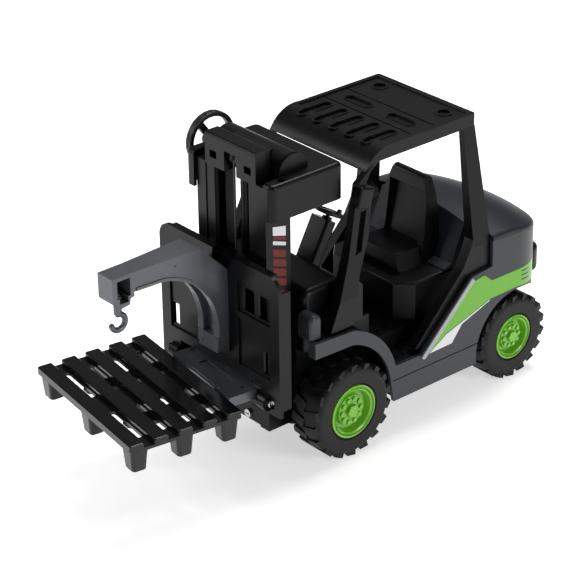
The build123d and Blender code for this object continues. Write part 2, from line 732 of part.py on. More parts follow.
def inner_mast():
    """Inner rails with a guide groove each, joined by the head crossbar."""
    rear = MAST_FRONT + MAST_DEPTH - 2.6
    base = MAST_BASE + 12 + SEAT_GAP
    rail = block(INNER_HALF - INNER_RAIL_W, INNER_HALF, MAST_FRONT + 0.6, rear, base, CROSSBAR_TOP - CROSSBAR_H)
    rail -= block(INNER_HALF - INNER_RAIL_W - 1, INNER_HALF - 3.0, MAST_FRONT + 3.4, MAST_FRONT + 8.6, base - 1, 171)
    mast = rail + mirror_x(rail)
    z0 = CROSSBAR_TOP - CROSSBAR_H
    bar = block(-INNER_HALF, INNER_HALF, MAST_FRONT, MAST_FRONT + CROSSBAR_D, z0, CROSSBAR_TOP)
    bar = fillet(bar.edges().filter_by(Axis.X).group_by(Axis.Z)[-1], 1.5)
    # T-shaped notch for the cord and its roller, and two square pockets
    bar -= block(-5.2, 5.2, MAST_FRONT - 1, MAST_FRONT + 12, z0 - 1, z0 + 12.5)
    bar -= block(-8.6, 8.6, MAST_FRONT + 2.2, MAST_FRONT + 12, z0 + 3.5, z0 + 12.5)
    for x in (-15.0, 15.0):
        bar -= block(x - 3, x + 3, MAST_FRONT - 1, MAST_FRONT + 4, z0 + 5.0, z0 + 9.5)
    mast += bar
    mast -= rod_x(1.5, -12.0, 12.0, ROLLER_Y, ROLLER_Z)
    return mast


def guide_roller():
    """Grooved roller that turns the cord downwards."""
    y, z = ROLLER_Y, ROLLER_Z
    roller = rod_x(ROLLER_R, -3.8, 3.8, y, z)
    groove = rod_x(5.0, -1.2, 1.2, y, z) - rod_x(ROLLER_GROOVE, -1.5, 1.5, y, z)
    return roller - groove - rod_x(1.5 + 0.03, -5, 5, y, z)


def guide_pin():
    """Steel pin of the guide roller."""
    return rod_x(1.5 - 0.01, -11.9, 11.9, ROLLER_Y, ROLLER_Z)


def lift_tube():
    """Dummy lift cylinder between the rails: barrel and thinner rod."""
    y = LIFT_TUBE_Y
    barrel = rod_z(LIFT_TUBE_R, MAST_BASE + 8.1, 118, 0, y)
    barrel = fillet(barrel.edges().group_by(Axis.Z)[-1], 1.2)
    return barrel + rod_z(3.4, 117, CROSSBAR_TOP - CROSSBAR_H - 1.5, 0, y)


def winch_housing():
    """Box behind the mast head, open below, with bearings for the winch shaft."""
    y0 = MAST_FRONT - 2.0
    box = block(-BOX_HALF, BOX_HALF, y0, BOX_REAR, BOX_BASE, BOX_TOP)
    box = fillet(box.edges().filter_by(Axis.Z), 4.0)
    box = fillet(box.faces().sort_by(Axis.Z)[-1].edges(), 2.4)
    box -= block(-BOX_HALF + 2, BOX_HALF - 2, y0 + 2, BOX_REAR - 2, BOX_BASE - 1, BOX_TOP - 2)
    # opening for the mast head and for the drum
    box -= block(-MAST_HALF - GAP, MAST_HALF + GAP, y0 - 1, MAST_FRONT + CROSSBAR_D + 0.5, BOX_BASE - 1, BOX_TOP + 1)
    box -= block(-COVER_HALF + 3, COVER_HALF - 3, DRUM_Y - 8.6, DRUM_Y + 8.6, BOX_TOP - 3, BOX_TOP + 1)
    for x0, x1 in ((-BOX_HALF + 1, -BOX_HALF + 5), (COVER_HALF - 3, COVER_HALF)):
        box += block(x0, x1, DRUM_Y - 3.2, DRUM_Y + 4, DRUM_Z - 5.5, BOX_TOP - 1)
    box -= rod_x(SHAFT_R + RUN, -BOX_HALF - 1, COVER_HALF + 1, DRUM_Y, DRUM_Z)
    box -= Pos(33.2, -86.0, BOX_TOP) * Cylinder(2.4, 10)
    return box


def drum_cover():
    """Half-round cover over the drum with a dished end cap."""
    z0 = BOX_TOP + SEAT_GAP
    cover = rod_x(COVER_R, -COVER_HALF, COVER_HALF, DRUM_Y, z0)
    cover -= rod_x(COVER_R - 1.8, -COVER_HALF + 2, COVER_HALF - 2, DRUM_Y, z0)
    cover &= block(-COVER_HALF, COVER_HALF, DRUM_Y - 20, DRUM_Y + 20, z0, z0 + 20)
    ring = rod_x(COVER_R + 0.6, COVER_HALF - 2.4, COVER_HALF - 1.2, DRUM_Y, z0)
    ring &= block(-60, 60, DRUM_Y - 20, DRUM_Y + 20, z0, z0 + 20)
    cover += ring
    # flat web forward to the crossbar
    web = block(-16, 16, MAST_FRONT + CROSSBAR_D + 0.1, DRUM_Y, z0 + COVER_R - 2.0, z0 + COVER_R - 0.2)
    cover += web
    cover -= block(-8, 8, MAST_FRONT + 10, DRUM_Y - 5, z0 + 2.0, z0 + COVER_R - 2.0)
    return cover


def winch_drum():
    """Drum with two flanges, keyed on the shaft."""
    drum = rod_x(DRUM_R, -11, 11, DRUM_Y, DRUM_Z)
    for x0, x1 in ((-12.5, -11), (11, 12.5)):
        drum += rod_x(7.6, x0, x1, DRUM_Y, DRUM_Z)
    return drum - rod_x(SHAFT_R, -20, 20, DRUM_Y, DRUM_Z)


def cord_winding():
    """Turns of cord on the drum, as one sleeve."""
    y, z = DRUM_Y, DRUM_Z
    return rod_x(DRUM_R + 1.4, -8, 8, y, z) - rod_x(DRUM_R + 0.02, -9, 9, y, z)


def winch_shaft():
    """Steel shaft from the hand wheel through both bearings."""
    return rod_x(SHAFT_R, -BOX_HALF - 8.6, COVER_HALF - 0.2, DRUM_Y, DRUM_Z)


def hand_wheel():
    """Ring-shaped hand wheel with three spokes and grip ridges."""
    x1 = -BOX_HALF - 3.6
    x0 = x1 - 5.0
    ring = rod_x(HAND_WHEEL_R, x0, x1, DRUM_Y, DRUM_Z) - rod_x(HAND_WHEEL_R - 3.0, x0 - 1, x1 + 1, DRUM_Y, DRUM_Z)
    ring = fillet(ring.edges().filter_by(GeomType.CIRCLE), 0.9)
    hub = rod_x(4.6, x0 + 0.4, x1, DRUM_Y, DRUM_Z)
    wheel = ring + hub
    for k in range(3):
        arm = Pos((x0 + x1) / 2, 0, HAND_WHEEL_R / 2) * Box(2.6, 4.2, HAND_WHEEL_R - 3)
        wheel += Pos(0, DRUM_Y, DRUM_Z) * Rot(35 + 120 * k, 0, 0) * arm
    wheel -= rod_x(SHAFT_R, x0 - 1, x1 + 1, DRUM_Y, DRUM_Z)
    for k in range(24):
        notch = Pos((x0 + x1) / 2, 0, HAND_WHEEL_R + 0.35) * Box(5.2, 1.2, 1.5)
        wheel -= Pos(0, DRUM_Y, DRUM_Z) * Rot(15 * k, 0, 0) * notch
    return wheel


def cord_route():
    """Y-Z points of the cord: leaving the winding, meeting the roller, over its top, down its front."""
    big = DRUM_R + 1.4 + CORD_R + 0.05
    small = ROLLER_GROOVE + CORD_R + 0.05
    run = DRUM_Y - ROLLER_Y
    rise = ROLLER_Z - DRUM_Z
    tilt = math.atan2(rise, run) - math.asin((big - small) / math.hypot(run, rise))
    leave = (DRUM_Y + big * math.sin(tilt), DRUM_Z + big * math.cos(tilt))
    meet = (ROLLER_Y + small * math.sin(tilt), ROLLER_Z + small * math.cos(tilt))
    over = (ROLLER_Y - small * math.sin(math.radians(45)), ROLLER_Z + small * math.cos(math.radians(45)))
    down = (ROLLER_Y - small, ROLLER_Z)
    return leave, meet, over, down


def cord_lead():
    """Cord from the drum forward and over the guide roller."""
    leave, meet, over, down = ((0.0, y, z) for y, z in cord_route())
    path = Line(leave, meet) + ThreePointArc(meet, over, down)
    profile = Plane(origin=leave, z_dir=Vector(*meet) - Vector(*leave)) * Circle(CORD_R)
    return sweep(profile, path=path)


def lift_cord():
    """Hanging run of the cord, from the roller to the carriage."""
    y, top = cord_route()[3]
    return rod_z(CORD_R, CARRIAGE_TOP - 5.0, top - SEAT_GAP, 0, y)


def mast_screws():
    """Two screws through the mast foot into the tray."""
    rear = MAST_FRONT + MAST_DEPTH
    screws = []
    for x in (-12.0, 12.0):
        head = rod_y(2.6, MAST_FRONT - 1.4, MAST_FRONT - SEAT_GAP, x, MAST_BASE + 5.0)
        slot = Pos(x, MAST_FRONT - 1.2, MAST_BASE + 5.0) * Box(3.2, 1.0, 0.7)
        screws.append(head - slot)
    return Compound(screws)


# ---------------------------------------------------------------- carriage and forks
def carriage():
    """Fork carriage: ribbed front plate, side flanges and a guide block that runs in the rails."""
    y0 = CARRIAGE_FRONT
    y1 = y0 + CARRIAGE_SKIN
    back = MAST_FRONT - 2.4
    plate = block(-CARRIAGE_HALF, CARRIAGE_HALF, y0, y1, CARRIAGE_BASE, CARRIAGE_TOP)
    upper = plate.edges().filter_by(Axis.Y).group_by(Axis.Z)[-1]
    plate = fillet(upper, 9.0)
    for s in (-1, 1):
        lo, hi = sorted((s * 17.0, s * 45.0))
        plate -= block(lo, hi, y0 - 1, y0 + 1.1, 64.0, 94.0)
        plate -= block(lo, hi, y0 - 1, y0 + 1.1, 98.0, 117.0)
        lo, hi = sorted((s * 38.0, s * 44.0))
        plate -= block(lo, hi, y0 - 1, y1 + 1, 66.0, 80.0)
        for x in (26.0, 39.0):
            lo, hi = sorted((s * (x - 4.8), s * (x + 4.8)))
            plate -= block(lo, hi, y0 - 1, y1 + 1, 100.0, 114.5)
    car = plate
    for s in (-1, 1):
        lo, hi = sorted((s * (CARRIAGE_HALF - 2.2), s * CARRIAGE_HALF))
        car += block(lo, hi, y0, back, CARRIAGE_BASE + 4, CARRIAGE_TOP - 9)
        lo, hi = sorted((s * 15.0, s * 17.4))
        car += block(lo, hi, y0, y1 + 3, 60.0, CARRIAGE_TOP - 2)
    # raised frame around the windows and the rib along the top
    car += block(-CARRIAGE_HALF + 8, CARRIAGE_HALF - 8, y0 + 1, y1 + 4.0, CARRIAGE_TOP - 3.4, CARRIAGE_TOP - 1)
    car += block(-CARRIAGE_HALF + 1, CARRIAGE_HALF - 1, y0 + 1, back, 57.4, 60.0)
    car += block(-38, 38, y0 + 1, back, CARRIAGE_BASE, CARRIAGE_BASE + 4.4)
    # slot for the fork unit
    car -= block(-36.5, 36.5, y0 - 1, back + 1, CARRIAGE_BASE + 4.4, 57.4)
    for s in (-1, 1):
        lug = rod_x(5.0, 36.6, 43.4, y0 + 0.5, 49.0) + block(36.6, 43.4, y0 + 0.5, back, 44.0, 54.0)
        car += lug if s > 0 else mirror_x(lug)
    # guide blocks behind the plate, with tongues in the rail grooves
    inner = INNER_HALF - INNER_RAIL_W - GAP
    for z0, z1 in ((76.0, 90.0), (108.0, 124.0)):
        car += block(-inner, inner, y1 - 0.5, MAST_FRONT + 4.4, z0, z1)
        for s in (-1, 1):
            lo, hi = sorted((s * 8.0, s * (INNER_HALF - 3.0 - GAP)))
            car += block(lo, hi, MAST_FRONT + 3.7, MAST_FRONT + 8.3, z0, z1)
    # pocket where the cord's end is tied
    cord_y = cord_route()[3][0]
    car -= rod_z(CORD_R + GAP, 112.0, CARRIAGE_TOP + 1, 0, cord_y)
    for s in (-1, 1):
        lo, hi = sorted((s * 35.0, s * 43.4))
        car -= rod_x(1.4, lo, hi, y0 + 0.5, 49.0)
        lo, hi = sorted((s * 43.4, s * 48.0))
        car -= rod_x(2.5, lo, hi, y0 + 0.5, 49.0)
    # T-slot for the crane arm, open at the top, and the fork pin's bores
    car -= block(-TONGUE_HALF, TONGUE_HALF, y0 - 1, y1 + 0.1, TONGUE_Z, CARRIAGE_TOP + 1)
    car -= block(-TONGUE_HALF - 2.6, TONGUE_HALF + 2.6, y1, y1 + 1.9, TONGUE_Z, CARRIAGE_TOP + 1)
    car -= rod_z(1.6, CARRIAGE_BASE + 1.2, 60.5, FORK_PIN_X, FORK_PIN_Y)
    return car


def carriage_screws():
    """Cross screws in the two lower lugs."""
    screws = []
    for s in (-1, 1):
        head = rod_x(2.2, 43.5, 45.2, CARRIAGE_FRONT + 0.5, 49.0)
        head = fillet(head.edges().group_by(Axis.X)[-1], 0.6)
        head -= Pos(45.0, CARRIAGE_FRONT + 0.5, 49.0) * Box(0.9, 2.8, 0.6)
        head -= Pos(45.0, CARRIAGE_FRONT + 0.5, 49.0) * Box(0.9, 0.6, 2.8)
        screw = head + rod_x(1.38, 37.0, 43.6, CARRIAGE_FRONT + 0.5, 49.0)
        screws.append(screw if s > 0 else mirror_x(screw))
    return Compound(screws)


def fork_pin():
    """Upright pin that the fork unit swings on."""
    return rod_z(1.58, CARRIAGE_BASE + 1.24, 60.4, FORK_PIN_X, FORK_PIN_Y)


def fork_place():
    """Frame of the fork unit: origin on the pin, -Y along the tines, swung at rest."""
    return Pos(FORK_PIN_X, FORK_PIN_Y, 0) * Rot(0, 0, FORK_YAW)


def fork_plate():
    """Plate in the carriage slot with its back corners cut for the swing."""
    pts = [(-32, -1.6), (-9, 2.8), (9, 2.8), (32, -1.6), (32, -FORK_REACH), (-32, -FORK_REACH)]
    pts = [(x * FORK_HALF / 32, y) for x, y in pts]
    face = make_face(Polyline(*pts, close=True))
    plate = Pos(0, 0, FORK_TOP - FORK_T) * extrude(face, FORK_T)
    plate = fillet(plate.edges().filter_by(Axis.X).group_by(Axis.Y)[0].group_by(Axis.Z)[-1], 0.8)
    plate -= block(-14, 14, -12.5, -7.0, FORK_TOP - 0.7, FORK_TOP + 1)
    for s in (-1, 1):
        lo, hi = sorted((s * 24.0, s * 30.0))
        plate -= block(lo, hi, -9.0, -6.0, FORK_TOP - 0.7, FORK_TOP + 1)
    plate += block(-18, 18, -FORK_REACH + 0.8, -FORK_REACH + 2.6, FORK_TOP - 0.5, FORK_TOP + 0.7)
    plate -= rod_z(1.58 + RUN, FORK_TOP - 8, FORK_TOP + 2, 0, 0)
    return fork_place() * plate


def fork_tine(side):
    """Tapered tine with a chamfered tip."""
    x0 = TINE_IN
    x1 = TINE_IN + TINE_W
    y0 = -FORK_REACH - SEAT_GAP
    y1 = y0 - TINE_LENGTH
    top = FORK_TOP
    tine = side_plate(
        [(y0, top), (y1, top - 0.9), (y1, top - 1.9), (y1 + 14, top - TINE_T), (y0, top - TINE_T - 1.2)],
        x0,
        x1,
    )
    tine = chamfer(tine.edges().filter_by(Axis.Z).group_by(Axis.Y)[0], 3.0)
    return fork_place() * (tine if side > 0 else mirror_x(tine))


def pallet():
    """Moulded pallet: five raised planks on a thin deck with slots, on nine tapered legs."""
    half_w = PALLET_W / 2
    rear = -PALLET_CENTRE + PALLET_L / 2
    front = rear - PALLET_L
    under = FORK_TOP + 0.15
    skin = under + 1.9
    deck = block(-half_w, half_w, front + 0.4, rear - 0.4, under, skin)
    plank = (PALLET_L - 4 * PLANK_GAP) / 5
    for i in range(5):
        y0 = front + i * (plank + PLANK_GAP)
        board = block(-half_w, half_w, y0, y0 + plank, skin - 0.6, PALLET_TOP)
        board = fillet(board.edges().filter_by(Axis.Z), 1.2)
        board = fillet(board.faces().sort_by(Axis.Z)[-1].edges(), 0.7)
        deck += board
    for i in range(4):
        y = front + (i + 1) * plank + (i + 0.5) * PLANK_GAP
        for s in (-1, 1):
            slot = SlotOverall(33.0, PALLET_SLOT_W)
            deck -= Pos(s * 26.5, y, under - 1) * extrude(slot, PALLET_TOP)
    legs = []
    for x in (-1, 0, 1):
        for y in (-1, 0, 1):
            px = x * (half_w - LEG / 2 - 0.6)
            py = -PALLET_CENTRE + y * (PALLET_L / 2 - LEG / 2 - 0.6)
            top = Pos(px, py, under + 0.4) * RectangleRounded(LEG, LEG - 1.0, 2.4)
            low = Pos(px, py, PALLET_BASE) * RectangleRounded(LEG - 2.4, LEG - 3.4, 2.2)
            leg = loft([low, top])
            leg = chamfer(leg.faces().sort_by(Axis.Z)[0].edges(), 0.8)
            legs.append(leg)
    for leg in legs:
        deck += leg
    return fork_place() * Pos(PALLET_SHIFT, 0, 0) * deck


# ---------------------------------------------------------------- crane arm
def arm_outline(inset):
    """Side view of the crane arm."""
    root = CARRIAGE_FRONT - SEAT_GAP
    return [
        (root, 121.0),
        (root - 19.0, ARM_TOP),
        (ARM_TIP, ARM_TOP - 0.4),
        (ARM_TIP, 124.6),
        (HOOK_Y - 1.8, 120.4),
        (HOOK_Y + 3.8, 121.2),
        (HOOK_Y + 4.6, 124.8),
        (HOOK_Y + 7.2, 125.2),
        (HOOK_Y + 7.0, 127.8),
        (-151.0, 128.0),
        (-130.0, 119.0, "arc"),
        (-113.8, 80.0),
        (-114.6, 72.6),
        (root - 2.2, 68.0),
        (root, 68.0),
    ]


def crane_arm():
    """Arched channel arm that hooks into the carriage, with a stepped head."""
    body = side_plate(arm_outline(0), -ARM_ROOT_HALF, ARM_ROOT_HALF)
    root = CARRIAGE_FRONT
    plan = make_face(
        Polyline(
            (-ARM_ROOT_HALF, root + 1),
            (-ARM_ROOT_HALF, root - 18),
            (-ARM_HEAD_HALF, HOOK_Y + 8),
            (-ARM_HEAD_HALF, ARM_TIP - 1),
            (ARM_HEAD_HALF, ARM_TIP - 1),
            (ARM_HEAD_HALF, HOOK_Y + 8),
            (ARM_ROOT_HALF, root - 18),
            (ARM_ROOT_HALF, root + 1),
            close=True,
        )
    )
    body &= extrude(plan, 200)
    w = ARM_WALL
    room = side_plate(
        [
            (root - 4.0, 117.0),
            (root - 19.4, ARM_TOP - w - 0.6),
            (HOOK_Y + 8.4, ARM_TOP - w - 0.6),
            (HOOK_Y + 8.4, 120.0),
            (-151.0, 120.0),
            (-134.0, 110.0),
            (-122.0, 60.0),
            (root - 4.0, 72.0),
        ],
        -ARM_HEAD_HALF + w,
        ARM_HEAD_HALF - w,
    )
    body -= room
    # foot across the channel, and the head pocket open on the driver's left
    body += block(-ARM_ROOT_HALF + 0.8, ARM_ROOT_HALF - 0.8, -114.2, root - 1.0, 70.0, 80.0)
    for s in (-1, 1):
        lo, hi = sorted((s * (ARM_HEAD_HALF - 0.6), s * (ARM_ROOT_HALF + 0.9)))
        lip = side_plate(ARCH_LIP, lo, hi)
        body += lip & extrude(offset(plan, 0.7), 200)
    pocket = block(-ARM_HEAD_HALF + w, 20, ARM_TIP + 3.2, HOOK_Y + 4.6, 126.6, ARM_TOP - 2.6)
    pocket += block(-ARM_HEAD_HALF + w, 20, HOOK_Y - 3.0, HOOK_Y + 3.0, 123.2, 127.0)
    body -= pocket
    body -= rod_z(1.5 + RUN, 110, 127, 0, HOOK_Y)
    body -= Pos(ARM_ROOT_HALF, -142.1, 137.0 - 2.0) * Rot(0, 90, 0) * Cylinder(1.0, 2.6)
    # tongue that drops into the carriage groove
    z0 = TONGUE_Z + SEAT_GAP
    skin = root + CARRIAGE_SKIN
    half = TONGUE_HALF - 0.15
    body += block(-half, half, root - 0.5, skin + 0.3, z0, 120.0)
    body += block(-half - 2.4, half + 2.4, skin + 0.2, skin + 1.7, z0, 120.0)
    return body


def crane_hook():
    """Hook on a swivel shank, with a collar inside the arm head."""
    centre_z = 109.0
    shank = rod_z(1.5, centre_z + HOOK_R - 0.5, 126.6, 0, HOOK_Y)
    collar = rod_z(2.6, 123.6, 125.4, 0, HOOK_Y)
    start = math.radians(90)
    end = math.radians(-165)
    pts = []
    for t in (start, (start + end) / 2, end):
        pts.append((0, HOOK_Y + HOOK_R * math.cos(t), centre_z + HOOK_R * math.sin(t)))
    arc = ThreePointArc(*pts)
    bow = sweep(Plane(origin=arc @ 0, z_dir=arc % 0) * Circle(HOOK_WIRE), path=arc)
    tip = Pos(*pts[2]) * Sphere(HOOK_WIRE)
    top = Pos(*pts[0]) * Sphere(HOOK_WIRE)
    neck = rod_z(2.3, centre_z + HOOK_R + 0.4, 119.6, 0, HOOK_Y)
    return shank + collar + bow + tip + top + neck


# ---------------------------------------------------------------- wheels
def tyre(radius, width, rim_r, face_x, axle_y):
    """Chunky tyre with rounded shoulders and two rows of staggered lugs."""
    h = width / 2
    edges = [
        Line((rim_r, -h + 1.5), (rim_r, h - 1.5)),
        Line((rim_r, h - 1.5), (rim_r + 1.4, h)),
        Line((rim_r + 1.4, h), (radius - 6.5, h)),
        ThreePointArc((radius - 6.5, h), (radius - 2.2, h - 1.6), (radius - 1.2, h - 4.2)),
        Line((radius - 1.2, h - 4.2), (radius - 0.9, 0)),
        Line((radius - 0.9, 0), (radius - 1.2, -h + 4.2)),
        ThreePointArc((radius - 1.2, -h + 4.2), (radius - 2.2, -h + 1.6), (radius - 6.5, -h)),
        Line((radius - 6.5, -h), (rim_r + 1.4, -h)),
        Line((rim_r + 1.4, -h), (rim_r, -h + 1.5)),
    ]
    carcass = revolve(make_face(edges), Axis.Y)
    lugs = carcass
    for side in (-1, 1):
        for k in range(LUGS):
            a = 360 / LUGS * (k + (0.5 if side > 0 else 0.0))
            lug = Pos(radius - 2.6, side * (h * 0.46), 0) * Rot(side * 14, 0, 0) * Box(5.2, h * 0.92, 5.6)
            lugs += Rot(0, a, 0) * lug
    trim = Rot(90, 0, 0) * (Cylinder(radius, width) - Cylinder(rim_r, width + 2))
    lugs &= trim
    placed = Rot(0, 0, -90) * lugs
    x = face_x - h
    return Pos(x, axle_y, radius) * placed


def rim(rim_r, width, face_x, axle_y, radius):
    """Dished rim with a double lip, a ring of bolts and a hexagonal cap."""
    h = width / 2
    edges = [
        Line((AXLE_R, -h + 2.0), (AXLE_R, h - 2.6)),
        Line((AXLE_R, h - 2.6), (rim_r * 0.56, h - 3.0)),
        Line((rim_r * 0.56, h - 3.0), (rim_r * 0.60, h - 5.4)),
        Line((rim_r * 0.60, h - 5.4), (rim_r * 0.72, h - 5.0)),
        Line((rim_r * 0.72, h - 5.0), (rim_r * 0.80, h - 0.8)),
        Line((rim_r * 0.80, h - 0.8), (rim_r * 0.865, h - 0.1)),
        Line((rim_r * 0.865, h - 0.1), (rim_r * 0.89, h - 1.0)),
        Line((rim_r * 0.89, h - 1.0), (rim_r * 0.92, h + 0.3)),
        Line((rim_r * 0.92, h + 0.3), (rim_r - SEAT_GAP, h - 0.2)),
        Line((rim_r - SEAT_GAP, h - 0.2), (rim_r - SEAT_GAP, -h + 1.0)),
        Line((rim_r - SEAT_GAP, -h + 1.0), (rim_r - 2.4, -h + 1.0)),
        Line((rim_r - 2.4, -h + 1.0), (rim_r - 2.4, -h + 2.0)),
        Line((rim_r - 2.4, -h + 2.0), (AXLE_R, -h + 2.0)),
    ]
    wheel = revolve(make_face(edges), Axis.Y)
    for k in range(10):
        bolt = Pos(rim_r * 0.44, h - 2.6, 0) * Rot(90, 0, 0) * Cylinder(rim_r * 0.085, 2.2)
        wheel += Rot(0, 36 * k, 0) * bolt
    cap = Pos(0, h - 2.0, 0) * Rot(90, 0, 0) * extrude(RegularPolygon(rim_r * 0.25, 6), 1.8, both=True)
    cap -= Pos(0, h - 4.4, 0) * Rot(90, 0, 0) * Cylinder(AXLE_R, 3.0)
    wheel += cap
    placed = Rot(0, 0, -90) * wheel
    return Pos(face_x - h, axle_y, radius) * placed


def wheel_set(name, radius, width, rim_r, face_x, axle_y):
    """One axle with its two rims and two tyres."""
    t = tyre(radius, width, rim_r, face_x, axle_y)
    r = rim(rim_r, width, face_x, axle_y, radius)
    NODES[name + "_tyre_left"] = t
    NODES[name + "_tyre_right"] = mirror_x(t)
    NODES[name + "_rim_left"] = r
    NODES[name + "_rim_right"] = mirror_x(r)
    NODES[name + "_axle"] = rod_x(AXLE_R - 0.01, -face_x + 3.4, face_x - 3.4, axle_y, radius)


# ---------------------------------------------------------------- assembly
def build():
    """Make every node in the truck's own frame."""
    NODES["chassis_pan"] = chassis_pan()
    NODES["chassis_screws"] = chassis_screws()
    NODES["body_shell"] = body_shell()
    NODES["trim_strip_left"] = trim_strip(1)
    NODES["trim_strip_right"] = trim_strip(-1)
    NODES["engine_hood"] = engine_hood()
    NODES["rear_bumper"] = rear_bumper()
    NODES["floor_deck"] = floor_deck()
    NODES["front_cowl"] = front_cowl()
    NODES["headlight_left"] = headlight(1)
    NODES["headlight_right"] = headlight(-1)
    NODES["seat_pedestal"] = seat_pedestal()
    NODES["bucket_seat"] = bucket_seat()
    NODES["overhead_guard"] = overhead_guard()
    NODES["steering_column"] = steering_column()
    NODES["steering_wheel"] = steering_wheel()
    NODES["control_levers"] = control_levers()
    NODES["outer_mast"] = outer_mast()
    NODES["inner_mast"] = inner_mast()
    NODES["guide_roller"] = guide_roller()
    NODES["guide_pin"] = guide_pin()
    NODES["lift_tube"] = lift_tube()
    NODES["winch_housing"] = winch_housing()
    NODES["drum_cover"] = drum_cover()
    NODES["winch_drum"] = winch_drum()
    NODES["cord_winding"] = cord_winding()
    NODES["winch_shaft"] = winch_shaft()
    NODES["hand_wheel"] = hand_wheel()
    NODES["cord_lead"] = cord_lead()
    NODES["lift_cord"] = lift_cord()
    NODES["mast_screws"] = mast_screws()
    NODES["carriage"] = carriage()
    NODES["carriage_screws"] = carriage_screws()
    NODES["fork_pin"] = fork_pin()
    NODES["fork_plate"] = fork_plate()
    NODES["fork_tine_left"] = fork_tine(1)
    NODES["fork_tine_right"] = fork_tine(-1)
    NODES["pallet"] = pallet()
    NODES["crane_arm"] = crane_arm()
    NODES["crane_hook"] = crane_hook()
    wheel_set("front", FRONT_TYRE_R, FRONT_TYRE_W, FRONT_RIM_R, FRONT_FACE_X, FRONT_AXLE_Y)
    wheel_set("rear", REAR_TYRE_R, REAR_TYRE_W, REAR_RIM_R, REAR_FACE_X, REAR_AXLE_Y)


def main():
    """Build, centre on the whole object's box and write one file per node."""
    build()
    boxes = [shape.bounding_box() for shape in NODES.values()]
    cx = (min(b.min.X for b in boxes) + max(b.max.X for b in boxes)) / 2
    cy = (min(b.min.Y for b in boxes) + max(b.max.Y for b in boxes)) / 2
    z0 = min(b.min.Z for b in boxes)
    move = Pos(-cx, -cy, -z0)
    os.makedirs("parts", exist_ok=True)
    for name, shape in NODES.items():
        export_step(move * shape, os.path.join("parts", name + ".step"))
    print("moved by", round(-cx, 4), round(-cy, 4), round(-z0, 4))


main()
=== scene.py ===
"""Looks for the toy forklift: finishes, raised details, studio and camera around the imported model.

Everything is in metres in the row frame: -Y is the truck's front, +X the driver's left, +Z up.
"""

import logging
import math
from dataclasses import dataclass
from enum import Enum
from typing import Optional, Sequence, Union

import bmesh
import bpy
import numpy as np
from mathutils import Matrix, Vector


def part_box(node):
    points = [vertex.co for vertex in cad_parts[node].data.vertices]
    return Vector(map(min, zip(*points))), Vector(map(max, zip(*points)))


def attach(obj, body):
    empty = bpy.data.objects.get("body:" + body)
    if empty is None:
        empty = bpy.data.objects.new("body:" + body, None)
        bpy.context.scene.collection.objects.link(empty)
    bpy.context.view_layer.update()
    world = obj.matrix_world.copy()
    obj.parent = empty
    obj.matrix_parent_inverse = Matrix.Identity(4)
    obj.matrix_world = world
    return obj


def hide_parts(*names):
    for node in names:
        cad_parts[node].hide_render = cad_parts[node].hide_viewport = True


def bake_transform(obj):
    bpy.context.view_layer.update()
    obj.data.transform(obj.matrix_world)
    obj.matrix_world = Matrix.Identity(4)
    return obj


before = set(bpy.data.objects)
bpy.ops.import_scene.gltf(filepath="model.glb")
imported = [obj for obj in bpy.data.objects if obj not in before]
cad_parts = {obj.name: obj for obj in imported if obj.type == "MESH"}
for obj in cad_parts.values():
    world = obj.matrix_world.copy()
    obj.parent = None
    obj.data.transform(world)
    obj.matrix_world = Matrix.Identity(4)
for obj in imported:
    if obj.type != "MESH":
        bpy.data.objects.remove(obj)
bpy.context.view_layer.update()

LOG = logging.getLogger("forklift")
MM = 0.001
TURN = 2 * math.pi
SIDES = ((1, "left"), (-1, "right"))
MAST_AHEAD = 95.0  # from the truck's origin forward to the outer mast's front face, in millimetres
STRANDS = 4.0  # strands of the cord's braid that run each way round it
Colour = tuple[float, float, float]
Array = np.ndarray
DUST: Colour = (0.34, 0.33, 0.31)
FLAKE: Colour = (0.75, 0.77, 0.8)


# ------------------------------------------------------------------ shader maths
class Signal:
    """A number socket in a node tree that can be used in ordinary Python expressions."""

    def __init__(self, graph: "Graph", socket: bpy.types.NodeSocket) -> None:
        """Wraps one output socket.

        Args:
            graph: the graph the socket belongs to.
            socket: the output socket.
        """
        self.graph = graph
        self.socket = socket

    def _math(self, operation: str, *others: Union["Signal", float], first: bool = True) -> "Signal":
        """Adds one Math node.

        Args:
            operation: the Math node's operation.
            others: the other operands.
            first: whether this signal is the first operand.

        Returns:
            The node's result.
        """
        operands = [self, *others] if first else [*others, self]
        return self.graph.number("ShaderNodeMath", {"operation": operation}, dict(enumerate(operands)))

    def __add__(self, other: Union["Signal", float]) -> "Signal":
        """Sum."""
        return self._math("ADD", other)

    def __radd__(self, other: float) -> "Signal":
        """Sum, reflected."""
        return self._math("ADD", other)

    def __sub__(self, other: Union["Signal", float]) -> "Signal":
        """Difference."""
        return self._math("SUBTRACT", other)

    def __rsub__(self, other: float) -> "Signal":
        """Difference, reflected."""
        return self._math("SUBTRACT", other, first=False)

    def __mul__(self, other: Union["Signal", float]) -> "Signal":
        """Product."""
        return self._math("MULTIPLY", other)

    def __rmul__(self, other: float) -> "Signal":
        """Product, reflected."""
        return self._math("MULTIPLY", other)

    def wave(self) -> "Signal":
        """Sine."""
        return self._math("SINE")

    def ramp(self, low: float, high: float, bottom: float = 0.0, top: float = 1.0) -> "Signal":
        """Smooth step.

        Args:
            low: the value where the step starts.
            high: the value where it ends.
            bottom: the result at and below low.
            top: the result at and above high.

        Returns:
            The stepped signal.
        """
        settings = {"interpolation_type": "SMOOTHSTEP"}
        sockets = {"Value": self, "From Min": low, "From Max": high, "To Min": bottom, "To Max": top}
        return self.graph.number("ShaderNodeMapRange", settings, sockets)


Input = Union[Signal, bpy.types.NodeSocket, float, Sequence[float]]


